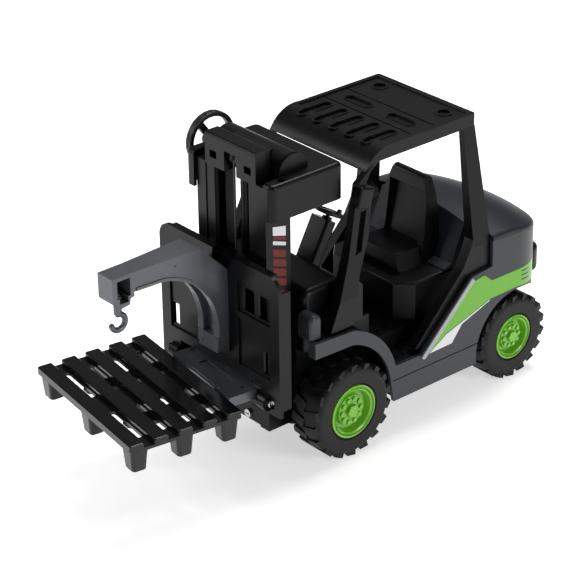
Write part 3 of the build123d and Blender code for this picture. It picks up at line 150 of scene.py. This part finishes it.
class Graph:
    """A material's node tree with one Principled shader."""

    def __init__(self, name: str) -> None:
        """Starts an empty material.

        Args:
            name: the material's name.
        """
        self.material = bpy.data.materials.new(name)
        self.material.use_nodes = True
        self.tree = self.material.node_tree
        self.shader = self.tree.nodes["Principled BSDF"]

    def node(self, kind: str, settings: dict, sockets: dict) -> bpy.types.Node:
        """Adds any node.

        Args:
            kind: the node's type.
            settings: the node's properties, set first.
            sockets: values or links by input name or number.

        Returns:
            The node.
        """
        made = self.tree.nodes.new(kind)
        for key, value in settings.items():
            setattr(made, key, value)
        for key, value in sockets.items():
            self.feed(made.inputs[key], value)
        return made

    def feed(self, socket: bpy.types.NodeSocket, value: Input) -> None:
        """Links or sets one input.

        Args:
            socket: the input.
            value: a signal, a socket or a constant.
        """
        if isinstance(value, Signal):
            self.tree.links.new(value.socket, socket)
        elif isinstance(value, bpy.types.NodeSocket):
            self.tree.links.new(value, socket)
        else:
            socket.default_value = value

    def number(self, kind: str, settings: dict, sockets: dict) -> Signal:
        """Adds a node and returns its first output as a signal."""
        return Signal(self, self.node(kind, settings, sockets).outputs[0])

    def split(self, vector: bpy.types.NodeSocket) -> list[Signal]:
        """The three numbers of a vector."""
        parts = self.node("ShaderNodeSeparateXYZ", {}, {"Vector": vector}).outputs
        return [Signal(self, part) for part in parts]

    def place(self) -> bpy.types.NodeSocket:
        """The point in the row frame."""
        return self.node("ShaderNodeTexCoord", {}, {}).outputs["Object"]

    def upward(self) -> Signal:
        """The upward part of the surface's normal in the row frame: 1 where it faces straight up."""
        return self.split(self.node("ShaderNodeTexCoord", {}, {}).outputs["Normal"])[2]

    def noise(self, scale: float, detail: float = 3.0, rough: float = 0.5) -> Signal:
        """Cloudy noise over the object.

        Args:
            scale: noise cells per metre.
            detail: octaves.
            rough: strength of the finer octaves.

        Returns:
            Values around 0.5.
        """
        sockets = {"Vector": self.place(), "Scale": scale, "Detail": detail, "Roughness": rough}
        return self.number("ShaderNodeTexNoise", {}, sockets)

    def cells(self, scale: float) -> Signal:
        """Distance to the nearest of many scattered points, cells per metre."""
        sockets = {"Vector": self.place(), "Scale": scale}
        return self.number("ShaderNodeTexVoronoi", {}, sockets)

    def blend(self, low: Input, high: Input, share: Input) -> bpy.types.NodeSocket:
        """Mixes two colours.

        Args:
            low: colour at share 0.
            high: colour at share 1.
            share: the mix.

        Returns:
            The mixed colour.
        """
        made = self.node("ShaderNodeMix", {"data_type": "RGBA"}, {0: share})
        for slot, value in ((6, low), (7, high)):
            value = (*value, 1.0) if isinstance(value, tuple) and len(value) == 3 else value
            self.feed(made.inputs[slot], value)
        return made.outputs[2]

    def bump(self, height: Signal, strength: float, depth: float) -> None:
        """Feeds the shader's normal from a height.

        Args:
            height: the height, around 0 to 1.
            strength: the bump's strength.
            depth: metres per unit of height.
        """
        sockets = {"Height": height, "Strength": strength, "Distance": depth}
        made = self.node("ShaderNodeBump", {}, sockets)
        self.tree.links.new(made.outputs["Normal"], self.shader.inputs["Normal"])

    def set(self, **inputs: Input) -> None:
        """Sets the shader's inputs; an underscore in a name stands for a space."""
        for key, value in inputs.items():
            value = (*value, 1.0) if isinstance(value, tuple) and len(value) == 3 else value
            self.feed(self.shader.inputs[key.replace("_", " ")], value)


# ------------------------------------------------------------------ finishes
class Texture(Enum):
    """Surface grain that a mould leaves, as cells per metre and depth in metres."""

    POLISHED = (900.0, 0.000004)
    SATIN = (2600.0, 0.000014)
    GRAINED = (1700.0, 0.000045)


@dataclass(frozen=True)
class Moulding:
    """Injection-moulded plastic: flow marks, fine grain, rub marks and a little dust."""

    name: str
    colour: Colour
    roughness: float
    texture: Texture = Texture.SATIN
    coat: float = 0.0
    dust: float = 0.02
    specular: float = 0.5
    metallic: float = 0.0
    flakes: float = 0.0

    def graph(self) -> Graph:
        """Builds the shader.

        Returns:
            The graph, ready for further marks.
        """
        g = Graph(self.name)
        scale, depth = self.texture.value
        flow = g.noise(38.0, 4.0, 0.55)
        grain = g.cells(scale)
        rubs = g.noise(420.0, 5.0, 0.7).ramp(0.58, 0.72)
        up = g.upward().ramp(0.3, 0.95)
        share = up * g.noise(160.0, 6.0, 0.65).ramp(0.42, 0.66) * self.dust + rubs * 0.004
        deep = tuple(c * 0.86 for c in self.colour)
        pale = tuple(min(1.0, c * 1.16) for c in self.colour)
        base = g.blend(deep, pale, flow)
        if self.flakes:
            glint = g.cells(9000.0).ramp(0.12, 0.4, 1.0, 0.0) * self.flakes
            base = g.blend(base, FLAKE, glint)
        colour = g.blend(base, DUST, share)
        rough = (flow - 0.5) * 0.12 + rubs * 0.1 + share * 0.6 + self.roughness
        g.set(Base_Color=colour, Roughness=rough, Metallic=self.metallic)
        g.set(Coat_Weight=self.coat, Coat_Roughness=0.12, Specular_IOR_Level=self.specular)
        g.bump(grain * 0.6 + g.noise(scale * 0.4, 3.0, 0.6) * 0.8, 0.5, depth)
        return g

    def material(self) -> bpy.types.Material:
        """The finished material."""
        return self.graph().material


@dataclass(frozen=True)
class TyreRubber:
    """Soft tyre compound: matt, slightly uneven in clouds, with lighter scuffs."""

    name: str
    colour: Colour = (0.0050, 0.0050, 0.0054)
    worn: Colour = (0.0125, 0.0125, 0.0125)

    def material(self) -> bpy.types.Material:
        """The finished material."""
        g = Graph(self.name)
        cloud = g.noise(120.0, 6.0, 0.62)
        fine = g.noise(2400.0, 3.0, 0.6)
        scuff = g.noise(700.0, 5.0, 0.75).ramp(0.56, 0.7)
        colour = g.blend(self.colour, self.worn, cloud.ramp(0.4, 0.72) * 0.6 + scuff * 0.25)
        g.set(Base_Color=colour, Roughness=cloud * 0.18 + scuff * 0.12 + 0.5, Specular_IOR_Level=0.3)
        g.bump(fine * 0.5 + scuff * 0.5, 0.6, 0.00006)
        return g.material


@dataclass(frozen=True)
class PlatedSteel:
    """Bright plated screws and shafts, a little stained."""

    name: str
    colour: Colour = (0.62, 0.62, 0.61)
    stained: Colour = (0.36, 0.34, 0.31)

    def material(self) -> bpy.types.Material:
        """The finished material."""
        g = Graph(self.name)
        stain = g.noise(300.0, 5.0, 0.6)
        colour = g.blend(self.colour, self.stained, stain.ramp(0.5, 0.8) * 0.5)
        g.set(Base_Color=colour, Metallic=1.0, Roughness=stain * 0.2 + 0.2)
        g.bump(g.noise(6000.0, 2.0, 0.5), 0.4, 0.00001)
        return g.material


@dataclass(frozen=True)
class BraidedCord:
    """Thin black braid with painted shade in the grooves and a painted highlight on the raised strands: the
    pattern follows the piece's own UV map, u round it and v along it.
    """

    name: str
    colour: Colour = (0.02, 0.02, 0.021)
    # colour of the raised strands: a painted highlight, lighter than the black of the grooves
    crest_highlight: Colour = (0.07, 0.07, 0.072)

    def material(self) -> bpy.types.Material:
        """The finished material."""
        g = Graph(self.name)
        uv = g.node("ShaderNodeUVMap", {"uv_map": "braid"}, {}).outputs[0]
        u, v, _ = g.split(uv)
        over = ((u * STRANDS + v) * TURN).wave() * ((u * STRANDS - v) * TURN).wave()
        # painted light: lighter on the raised strands (painted highlight), darker in the grooves between
        # them (painted shade)
        colour = g.blend(self.colour, self.crest_highlight, over.ramp(-0.4, 0.9))
        g.set(Base_Color=colour, Roughness=over * 0.1 + 0.62)
        g.bump(over * 0.5 + 0.5, 0.6, 0.00008)
        return g.material


@dataclass(frozen=True)
class PrintedFilm:
    """Thin printed sticker: even ink with a clear coat and slight wear."""

    name: str
    colour: Colour
    roughness: float = 0.32

    def material(self) -> bpy.types.Material:
        """The finished material."""
        g = Graph(self.name)
        cloud = g.noise(90.0, 4.0, 0.6)
        wear = g.noise(900.0, 5.0, 0.7).ramp(0.66, 0.74)
        base = g.blend(tuple(c * 0.94 for c in self.colour), self.colour, cloud)
        colour = g.blend(base, tuple(c * 0.6 + 0.02 for c in self.colour), wear * 0.35)
        g.set(Base_Color=colour, Roughness=cloud * 0.08 + wear * 0.1 + self.roughness)
        g.set(Coat_Weight=0.1, Coat_Roughness=0.2, Specular_IOR_Level=0.2)
        g.bump(g.noise(1500.0, 3.0, 0.5), 0.3, 0.00001)
        return g.material


@dataclass(frozen=True)
class Palette:
    """All finishes of the truck."""

    satin_black: Moulding = Moulding(
        "satin black moulding", (0.0024, 0.0026, 0.0031), 0.34, dust=0.004, specular=0.2
    )
    mast_black: Moulding = Moulding(
        "mast black moulding", (0.0020, 0.0022, 0.0027), 0.33, dust=0.004, specular=0.2
    )
    seat_black: Moulding = Moulding(
        "grained black moulding", (0.0020, 0.0020, 0.0024), 0.42, Texture.GRAINED, dust=0.004, specular=0.22
    )
    gloss_black: Moulding = Moulding(
        "gloss black moulding", (0.0018, 0.0019, 0.0023), 0.2, Texture.POLISHED,
        coat=0.25, dust=0.004, specular=0.25
    )
    hood_black: Moulding = Moulding(
        "blue-black moulding", (0.0125, 0.0155, 0.0215), 0.42, dust=0.006, specular=0.25
    )
    body_grey: Moulding = Moulding(
        "dark grey moulding", (0.036, 0.040, 0.045), 0.4, metallic=0.1, dust=0.006, specular=0.3
    )
    dark_grey: Moulding = Moulding("wheel grey moulding", (0.014, 0.014, 0.015), 0.42, specular=0.3)
    metallic_grey: Moulding = Moulding(
        "metallic grey moulding", (0.088, 0.094, 0.106), 0.34, Texture.POLISHED,
        metallic=0.5, flakes=0.22, dust=0.01
    )
    tine_grey: Moulding = Moulding(
        "dark metallic moulding", (0.038, 0.041, 0.047), 0.34, Texture.POLISHED,
        metallic=0.45, flakes=0.12, dust=0.01
    )
    silver: Moulding = Moulding(
        "silver moulding", (0.30, 0.31, 0.33), 0.3, Texture.POLISHED, metallic=0.6, flakes=0.3
    )
    rim_green: Moulding = Moulding(
        "bright green moulding", (0.15, 0.44, 0.020), 0.32, Texture.POLISHED, coat=0.25
    )
    tyre: TyreRubber = TyreRubber("tyre compound")
    steel: PlatedSteel = PlatedSteel("plated steel")
    braid: BraidedCord = BraidedCord("black braid")
    film_green: PrintedFilm = PrintedFilm("green film", (0.155, 0.43, 0.045))
    film_white: PrintedFilm = PrintedFilm("white film", (0.72, 0.73, 0.74))
    film_red: PrintedFilm = PrintedFilm("red film", (0.15, 0.010, 0.007))
    film_dark: PrintedFilm = PrintedFilm("dark film", (0.03, 0.06, 0.028))


FINISH = {name: getattr(Palette(), name).material() for name in Palette.__dataclass_fields__}


def dress(finish: str, *nodes: str) -> None:
    """Gives CAD nodes a finish.

    Args:
        finish: the name in the palette.
        nodes: the CAD nodes.
    """
    for name in nodes:
        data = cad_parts[name].data
        if not data.materials:
            data.materials.append(None)
        for i in range(len(data.materials)):
            data.materials[i] = FINISH[finish]
        LOG.info("%s is %s", name, finish)


# ------------------------------------------------------------------ surfaces
def surface(name: str, points: Array, finish: str, ring: bool = False,
            uv: Optional[Array] = None, smooth: bool = True) -> bpy.types.Object:
    """Makes a mesh from a grid of points.

    The face between rows i, i+1 and columns j, j+1 is (i,j), (i,j+1), (i+1,j+1), (i+1,j).

    Args:
        name: the piece's name.
        points: array of shape (rows, columns, 3), in metres.
        finish: the name in the palette.
        ring: whether the last column joins the first.
        uv: optional array of shape (rows, columns, 2) for the map named braid.
        smooth: whether faces are shaded smooth.

    Returns:
        The object, at the origin.
    """
    rows, columns = points.shape[:2]
    across = columns if ring else columns - 1
    i, j = np.meshgrid(np.arange(rows - 1), np.arange(across), indexing="ij")
    i2, j2 = i + 1, (j + 1) % columns
    corners = [i * columns + j, i * columns + j2, i2 * columns + j2, i2 * columns + j]
    quads = np.stack(corners, -1).reshape(-1, 4)
    mesh = bpy.data.meshes.new(name)
    mesh.vertices.add(rows * columns)
    mesh.vertices.foreach_set("co", points.reshape(-1).astype(np.float32))
    mesh.loops.add(quads.size)
    mesh.loops.foreach_set("vertex_index", quads.reshape(-1).astype(np.int32))
    mesh.polygons.add(len(quads))
    mesh.polygons.foreach_set("loop_start", np.arange(0, quads.size, 4, dtype=np.int32))
    mesh.update(calc_edges=True)
    mesh.polygons.foreach_set("use_smooth", np.full(len(quads), smooth))
    if uv is not None:
        layer = mesh.uv_layers.new(name="braid")
        loops = uv.reshape(-1, 2)[quads.reshape(-1)]
        layer.data.foreach_set("uv", loops.reshape(-1).astype(np.float32))
    mesh.materials.append(FINISH[finish])
    made = bpy.data.objects.new(name, mesh)
    bpy.context.scene.collection.objects.link(made)
    LOG.info("%s: %d faces", name, len(quads))
    return made


def slab(name: str, front: Array, back: Array, finish: str) -> bpy.types.Object:
    """A closed thin sheet between two grids of the same shape.

    The section across the sheet is a closed ring: the front row, then the back row reversed; the two
    end rows collapse onto the mid line so that the piece is closed.

    Args:
        name: the piece's name.
        front: grid (rows, columns, 3) of the outer face.
        back: the same for the inner face.
        finish: the name in the palette.

    Returns:
        The object.
    """
    ring = np.concatenate([front, back[:, ::-1]], axis=1)
    cap0 = np.repeat(ring[:1].mean(axis=1, keepdims=True), ring.shape[1], axis=1)
    cap1 = np.repeat(ring[-1:].mean(axis=1, keepdims=True), ring.shape[1], axis=1)
    points = np.concatenate([cap0, ring, cap1], axis=0)
    made = surface(name, points, finish, ring=True, smooth=False)
    tidy(made)
    return made


def tidy(piece: bpy.types.Object) -> None:
    """Merges doubled points and turns all faces outwards."""
    mesh = bmesh.new()
    mesh.from_mesh(piece.data)
    bmesh.ops.remove_doubles(mesh, verts=mesh.verts, dist=1e-7)
    bmesh.ops.recalc_face_normals(mesh, faces=mesh.faces)
    mesh.to_mesh(piece.data)
    mesh.free()


def origin_shift() -> Vector:
    """How far the row frame lies from the truck's own frame, read from the outer mast.

    Returns:
        The shift in metres: the mast is symmetric across the truck's middle plane and its front face lies
        MAST_AHEAD in front of the truck's origin.
    """
    low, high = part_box("outer_mast")
    return Vector(((low.x + high.x) / 2, low.y + MAST_AHEAD * MM, 0.0))


SHIFT = origin_shift()


def at(x: Array, y: Array, z: Array) -> Array:
    """Points given in the truck's own frame in millimetres, as row-frame metres.

    Args:
        x: across.
        y: along.
        z: up.

    Returns:
        Array with a last axis of 3.
    """
    x, y, z = np.broadcast_arrays(np.asarray(x, float), np.asarray(y, float), np.asarray(z, float))
    return np.stack([x * MM + SHIFT.x, y * MM + SHIFT.y, z * MM + SHIFT.z], -1)


# ------------------------------------------------------------------ sub-assemblies
@dataclass
class Chassis:
    """Tray, floor and screws under the truck."""

    def dress(self) -> None:
        """Gives the nodes their finishes."""
        dress("seat_black", "chassis_pan", "floor_deck")
        dress("steel", "chassis_screws", "mast_screws", "front_axle", "rear_axle")


@dataclass
class Body:
    """Grey side skins with their printed films, the engine cover and the buffer."""

    half: float = 55.0
    corner: float = 30.0
    corner_y: float = 82.1
    film: float = 0.12
    sunk: float = 0.05
    dash_front: float = 85.0
    dash_rear: float = 93.0
    dash_z: float = 66.2
    dash_pitch: float = 2.9
    dash_height: float = 1.0
    dash_lift: float = 0.05
    dashes: int = 3
    green_top: Sequence[tuple[float, float]] = ((6.0, 42.6), (44.2, 79.2), (53.2, 80.2), (59.4, 74.8),
                                                (82.0, 74.6), (104.5, 74.3))
    green_low: Sequence[tuple[float, float]] = ((6.0, 42.2), (8.7, 44.2), (22.4, 52.4), (58.1, 62.7),
                                                (82.0, 63.2), (104.5, 60.4))
    white_top: Sequence[tuple[float, float]] = ((9.0, 44.1), (22.4, 51.8), (34.8, 55.4), (58.1, 62.2))
    white_low: Sequence[tuple[float, float]] = ((9.0, 43.7), (26.8, 44.0), (34.8, 54.0), (58.1, 61.7))

    def skin(self, y: Array) -> Array:
        """Half width of the skin at a length: flat, then a quarter round at the rear corner.

        Args:
            y: lengths in millimetres.

        Returns:
            Half widths in millimetres.
        """
        past = np.clip(y - self.corner_y, 0.0, self.corner)
        return self.half - self.corner + np.sqrt(self.corner**2 - past**2)

    def ruled(self, name: str, side: int, low: Sequence[tuple[float, float]],
              top: Sequence[tuple[float, float]], finish: str, lift: float = 0.0) -> bpy.types.Object:
        """A film between two border lines, lying on the skin.

        The point at share v up the film at length y is (1 - v) low(y) + v top(y), set off the skin by
        the film's thickness. The back is sunk a little into the skin.

        Args:
            name: the piece's name.
            side: 1 for the driver's left, -1 for the right.
            low: (y, z) points of the lower border.
            top: the same for the upper border.
            finish: the name in the palette.
            lift: extra height over the skin in millimetres.

        Returns:
            The film.
        """
        y = np.linspace(low[0][0], low[-1][0], 90)
        z0 = np.interp(y, *np.array(low).T)
        z1 = np.interp(y, *np.array(top).T)
        v = np.linspace(0.0, 1.0, 9)[None, :]
        z = z0[:, None] * (1 - v) + z1[:, None] * v
        x = self.skin(y)[:, None] + 0 * v
        grid_y = y[:, None] + 0 * v
        front = at(side * (x + self.film + lift), grid_y, z)
        back = at(side * (x - self.sunk), grid_y, z)
        return slab(name, front, back, finish)

    def build(self) -> None:
        """Makes the films on both sides."""
        for side, word in SIDES:
            green = self.ruled(f"film_green_{word}", side, self.green_low, self.green_top, "film_green")
            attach(green, "truck")
            white = self.ruled(f"film_white_{word}", side, self.white_low, self.white_top, "film_white")
            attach(white, "truck")
            for k in range(self.dashes):
                z = self.dash_z + self.dash_pitch * k
                low = ((self.dash_front, z), (self.dash_rear, z - self.dash_height))
                top = ((self.dash_front, z + self.dash_height), (self.dash_rear, z))
                dash = self.ruled(f"film_dash_{word}_{k}", side, low, top, "film_dark", lift=self.dash_lift)
                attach(dash, "truck")

    def dress(self) -> None:
        """Gives the nodes their finishes."""
        dress("body_grey", "body_shell", "headlight_left", "headlight_right")
        dress("hood_black", "engine_hood")
        dress("satin_black", "rear_bumper", "front_cowl")
        dress("silver", "trim_strip_left", "trim_strip_right")


@dataclass
class Cab:
    """Seat, guard, column and levers."""

    def dress(self) -> None:
        """Gives the nodes their finishes."""
        dress("satin_black", "overhead_guard", "steering_column")
        dress("seat_black", "seat_pedestal", "bucket_seat", "control_levers")
        dress("dark_grey", "steering_wheel")


@dataclass(frozen=True)
class Bar:
    """A plain printed bar on the mast's side plate, in millimetres; it may fall towards the rear."""

    front_top: float
    rear_top: float
    front_depth: float
    rear_depth: float
    finish: str


@dataclass
class Mast:
    """Rails, crossbar, dummy cylinder and the printed bars on the side plates."""

    half: float = 30.0
    film: float = 0.1
    sunk: float = 0.05
    plate_front: float = -90.0
    plate_rear: float = -80.6
    block_pitch: float = 5.9
    blocks: int = 4

    def bars(self) -> list[Bar]:
        """The bars from the top down: three slanted ones, a column of equal blocks and a short one."""
        slanted = [Bar(149.4, 147.4, 5.2, 6.0, "film_white"), Bar(143.6, 140.8, 2.0, 2.2, "film_red"),
                   Bar(140.9, 137.5, 2.4, 2.2, "film_white")]
        column = [Bar(135.8 - self.block_pitch * k, 132.4 - self.block_pitch * k, 4.6, 4.4, "film_red")
                  for k in range(self.blocks)]
        return [*slanted, *column, Bar(110.6, 107.0, 2.2, 3.4, "film_red")]

    def patch(self, name: str, side: int, corners: Sequence[tuple[float, float]],
              finish: str) -> bpy.types.Object:
        """A four-cornered film on a side plate: a bilinear patch between its corners.

        Args:
            name: the piece's name.
            side: 1 or -1.
            corners: (y, z) of the corners, in order round the patch.
            finish: the name in the palette.

        Returns:
            The film.
        """
        a, b, c, d = (np.array(p, float) for p in corners)
        u = np.linspace(0, 1, 12)[:, None, None]
        v = np.linspace(0, 1, 5)[None, :, None]
        flat = (1 - u) * ((1 - v) * a + v * d) + u * ((1 - v) * b + v * c)
        front = at(side * (self.half + self.film), flat[..., 0], flat[..., 1])
        back = at(side * (self.half - self.sunk), flat[..., 0], flat[..., 1])
        return slab(name, front, back, finish)

    def build(self) -> None:
        """Makes the printed bars on both side plates."""
        for side, word in SIDES:
            for k, bar in enumerate(self.bars()):
                corners = ((self.plate_front, bar.front_top - bar.front_depth),
                           (self.plate_rear, bar.rear_top - bar.rear_depth),
                           (self.plate_rear, bar.rear_top), (self.plate_front, bar.front_top))
                film = self.patch(f"mast_bar_{word}_{k}", side, corners, bar.finish)
                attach(film, "truck")

    def dress(self) -> None:
        """Gives the nodes their finishes."""
        dress("mast_black", "outer_mast", "inner_mast", "winch_housing", "drum_cover", "lift_tube")
        dress("dark_grey", "guide_roller")
        dress("steel", "guide_pin")


@dataclass
class Winch:
    """Drum, hand wheel and the braided cord."""

    radius: float = 0.70
    pitch: float = 2.4
    roller_y: float = -88.6
    roller_z: float = 181.0
    wrap: float = 3.35
    low_end: float = 125.0
    cap: float = 0.01

    def braid(self, name: str, path: Array) -> bpy.types.Object:
        """A braided tube along a path.

        The radius at angle a and distance s is R (0.93 + 0.07 sin(na + ks) sin(na - ks)), with n strands
        each way and k one turn per pitch. It is nothing at both ends, which closes them.

        Args:
            name: the piece's name.
            path: points (n, 3) in the truck's frame, in the Y-Z plane.

        Returns:
            The closed tube.
        """
        step = np.gradient(path, axis=0)
        step /= np.linalg.norm(step, axis=1, keepdims=True)
        side = np.array([1.0, 0.0, 0.0])
        other = np.cross(step, side)
        length = np.concatenate([[0.0], np.cumsum(np.linalg.norm(np.diff(path, axis=0), axis=1))])
        a = np.linspace(0, TURN, 16, endpoint=False)[None, :]
        k = TURN / self.pitch
        s = length[:, None]
        r = self.radius * (0.93 + 0.07 * np.sin(STRANDS * a + k * s) * np.sin(STRANDS * a - k * s))
        r[0] = r[-1] = 0.0
        out = np.cos(a)[..., None] * side + np.sin(a)[..., None] * other[:, None]
        ring = path[:, None, :] + r[..., None] * out
        uv = np.stack([np.broadcast_to(a / TURN, r.shape), np.broadcast_to(s / self.pitch, r.shape)], -1)
        made = surface(name, at(ring[..., 0], ring[..., 1], ring[..., 2]), "braid", ring=True, uv=uv)
        tidy(made)
        return made

    def build(self) -> None:
        """Makes the hanging cord, which stretches between the roller and the carriage."""
        z = np.linspace(self.roller_z - 0.05, self.low_end, 140)
        z = np.concatenate([z[:1], z, z[-1:]])
        y = self.roller_y - self.wrap
        run = np.stack([0 * z, y + 0 * z, z], -1)
        run[0, 2] += self.cap
        run[-1, 2] -= self.cap
        cord = self.braid("lift_cord_braid", run)
        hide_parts("lift_cord")
        top, low = at(0.0, y, self.roller_z), at(0.0, y, self.low_end)
        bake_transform(cord)

    def dress(self) -> None:
        """Gives the nodes their finishes."""
        dress("dark_grey", "hand_wheel", "winch_drum")
        dress("steel", "winch_shaft")
        dress("seat_black", "cord_winding", "cord_lead")


@dataclass
class Lift:
    """Carriage, forks, pallet and crane arm."""

    def dress(self) -> None:
        """Gives the nodes their finishes."""
        dress("mast_black", "carriage")
        dress("steel", "carriage_screws", "fork_pin")
        dress("metallic_grey", "fork_plate", "crane_hook")
        dress("tine_grey", "fork_tine_left", "fork_tine_right")
        dress("gloss_black", "pallet")
        dress("metallic_grey", "crane_arm")


@dataclass
class Wheels:
    """Green rims in black tyres."""

    axles: Sequence[str] = ("front", "rear")

    def dress(self) -> None:
        """Gives the nodes their finishes."""
        for axle in self.axles:
            for side in ("left", "right"):
                dress("tyre", f"{axle}_tyre_{side}")
                dress("rim_green", f"{axle}_rim_{side}")


# ------------------------------------------------------------------ studio
@dataclass(frozen=True)
class SoftLight:
    """A square area light: place in metres, power in watts and side in metres."""

    name: str
    place: tuple[float, float, float]
    power: float
    size: float


@dataclass
class Studio:
    """Pale floor, soft lights and the camera, whose distances are in millimetres in the truck's frame."""

    azimuth: float = 49.53
    elevation: float = 27.35
    roll: float = -0.72
    focal_px: float = 2326.83
    frame_px: float = 580.0
    distance: float = 1403.01
    target: tuple[float, float, float] = (-30.32, -26.5, 65.24)
    lit: tuple[float, float, float] = (0.0, 0.0, 0.07)
    surround: float = 0.16
    lights: Sequence[SoftLight] = (SoftLight("overhead", (-0.25, 0.55, 1.5), 20.0, 0.7),
                                   SoftLight("left_front", (-0.9, -1.2, 0.9), 11.0, 0.6),
                                   SoftLight("right_side", (1.5, 0.35, 0.6), 9.0, 0.6))

    def camera(self) -> None:
        """Places the camera by its azimuth, elevation and roll about the target."""
        a, e, r = (math.radians(v) for v in (self.azimuth, self.elevation, self.roll))
        back = Vector((math.sin(a) * math.cos(e), -math.cos(a) * math.cos(e), math.sin(e)))
        right = Vector((math.cos(a), math.sin(a), 0.0))
        up = back.cross(right)
        across = right * math.cos(r) + up * math.sin(r)
        above = up * math.cos(r) - right * math.sin(r)
        spot = Vector(self.target) * MM + SHIFT + back * self.distance * MM
        data = bpy.data.cameras.new("camera")
        data.sensor_width = 36.0
        data.lens = self.focal_px * data.sensor_width / self.frame_px
        data.clip_start, data.clip_end = 0.05, 30.0
        eye = bpy.data.objects.new("camera", data)
        turn = Matrix((across, above, back)).transposed().to_4x4()
        eye.matrix_world = Matrix.Translation(spot) @ turn
        bpy.context.scene.collection.objects.link(eye)
        bpy.context.scene.camera = eye

    def floor(self) -> None:
        """A wide pale floor that fades into the background."""
        side = np.linspace(-6.0, 6.0, 9)
        x, y = np.meshgrid(side, side, indexing="ij")
        points = np.stack([x, y, np.full_like(x, -0.0002)], -1)
        g = Graph("pale floor")
        cloud = g.noise(3.0, 2.0, 0.5)
        g.set(Base_Color=g.blend((0.86, 0.86, 0.86), (0.9, 0.9, 0.9), cloud), Roughness=0.9)
        g.set(Emission_Color=(1.0, 1.0, 1.0, 1.0), Emission_Strength=0.55, Specular_IOR_Level=0.1)
        FINISH["floor"] = g.material
        surface("floor", points, "floor")

    def light(self, plan: SoftLight) -> None:
        """Places one light, aimed at the truck.

        Args:
            plan: the light.
        """
        data = bpy.data.lights.new(plan.name, "AREA")
        data.energy, data.size = plan.power, plan.size
        lamp = bpy.data.objects.new(plan.name, data)
        aim = (Vector(self.lit) - Vector(plan.place)).to_track_quat("-Z", "Y")
        lamp.matrix_world = Matrix.Translation(plan.place) @ aim.to_matrix().to_4x4()
        bpy.context.scene.collection.objects.link(lamp)

    def build(self) -> None:
        """Makes the whole studio."""
        self.camera()
        self.floor()
        for plan in self.lights:
            self.light(plan)
        world = bpy.data.worlds.new("soft surround")
        world.use_nodes = True
        sky = world.node_tree.nodes["Background"]
        sky.inputs["Color"].default_value = (1.0, 1.0, 1.0, 1.0)
        sky.inputs["Strength"].default_value = self.surround
        bpy.context.scene.world = world
        bpy.context.scene.view_settings.view_transform = "Standard"


def main() -> None:
    """Builds and dresses every sub-assembly."""
    logging.basicConfig(level=logging.INFO, format="%(name)s: %(message)s")
    Studio().build()
    for part in (Chassis(), Body(), Cab(), Mast(), Winch(), Lift(), Wheels()):
        LOG.info("building %s", type(part).__name__)
        if hasattr(part, "build"):
            part.build()
        part.dress()


if __name__ == "__main__":
    main()
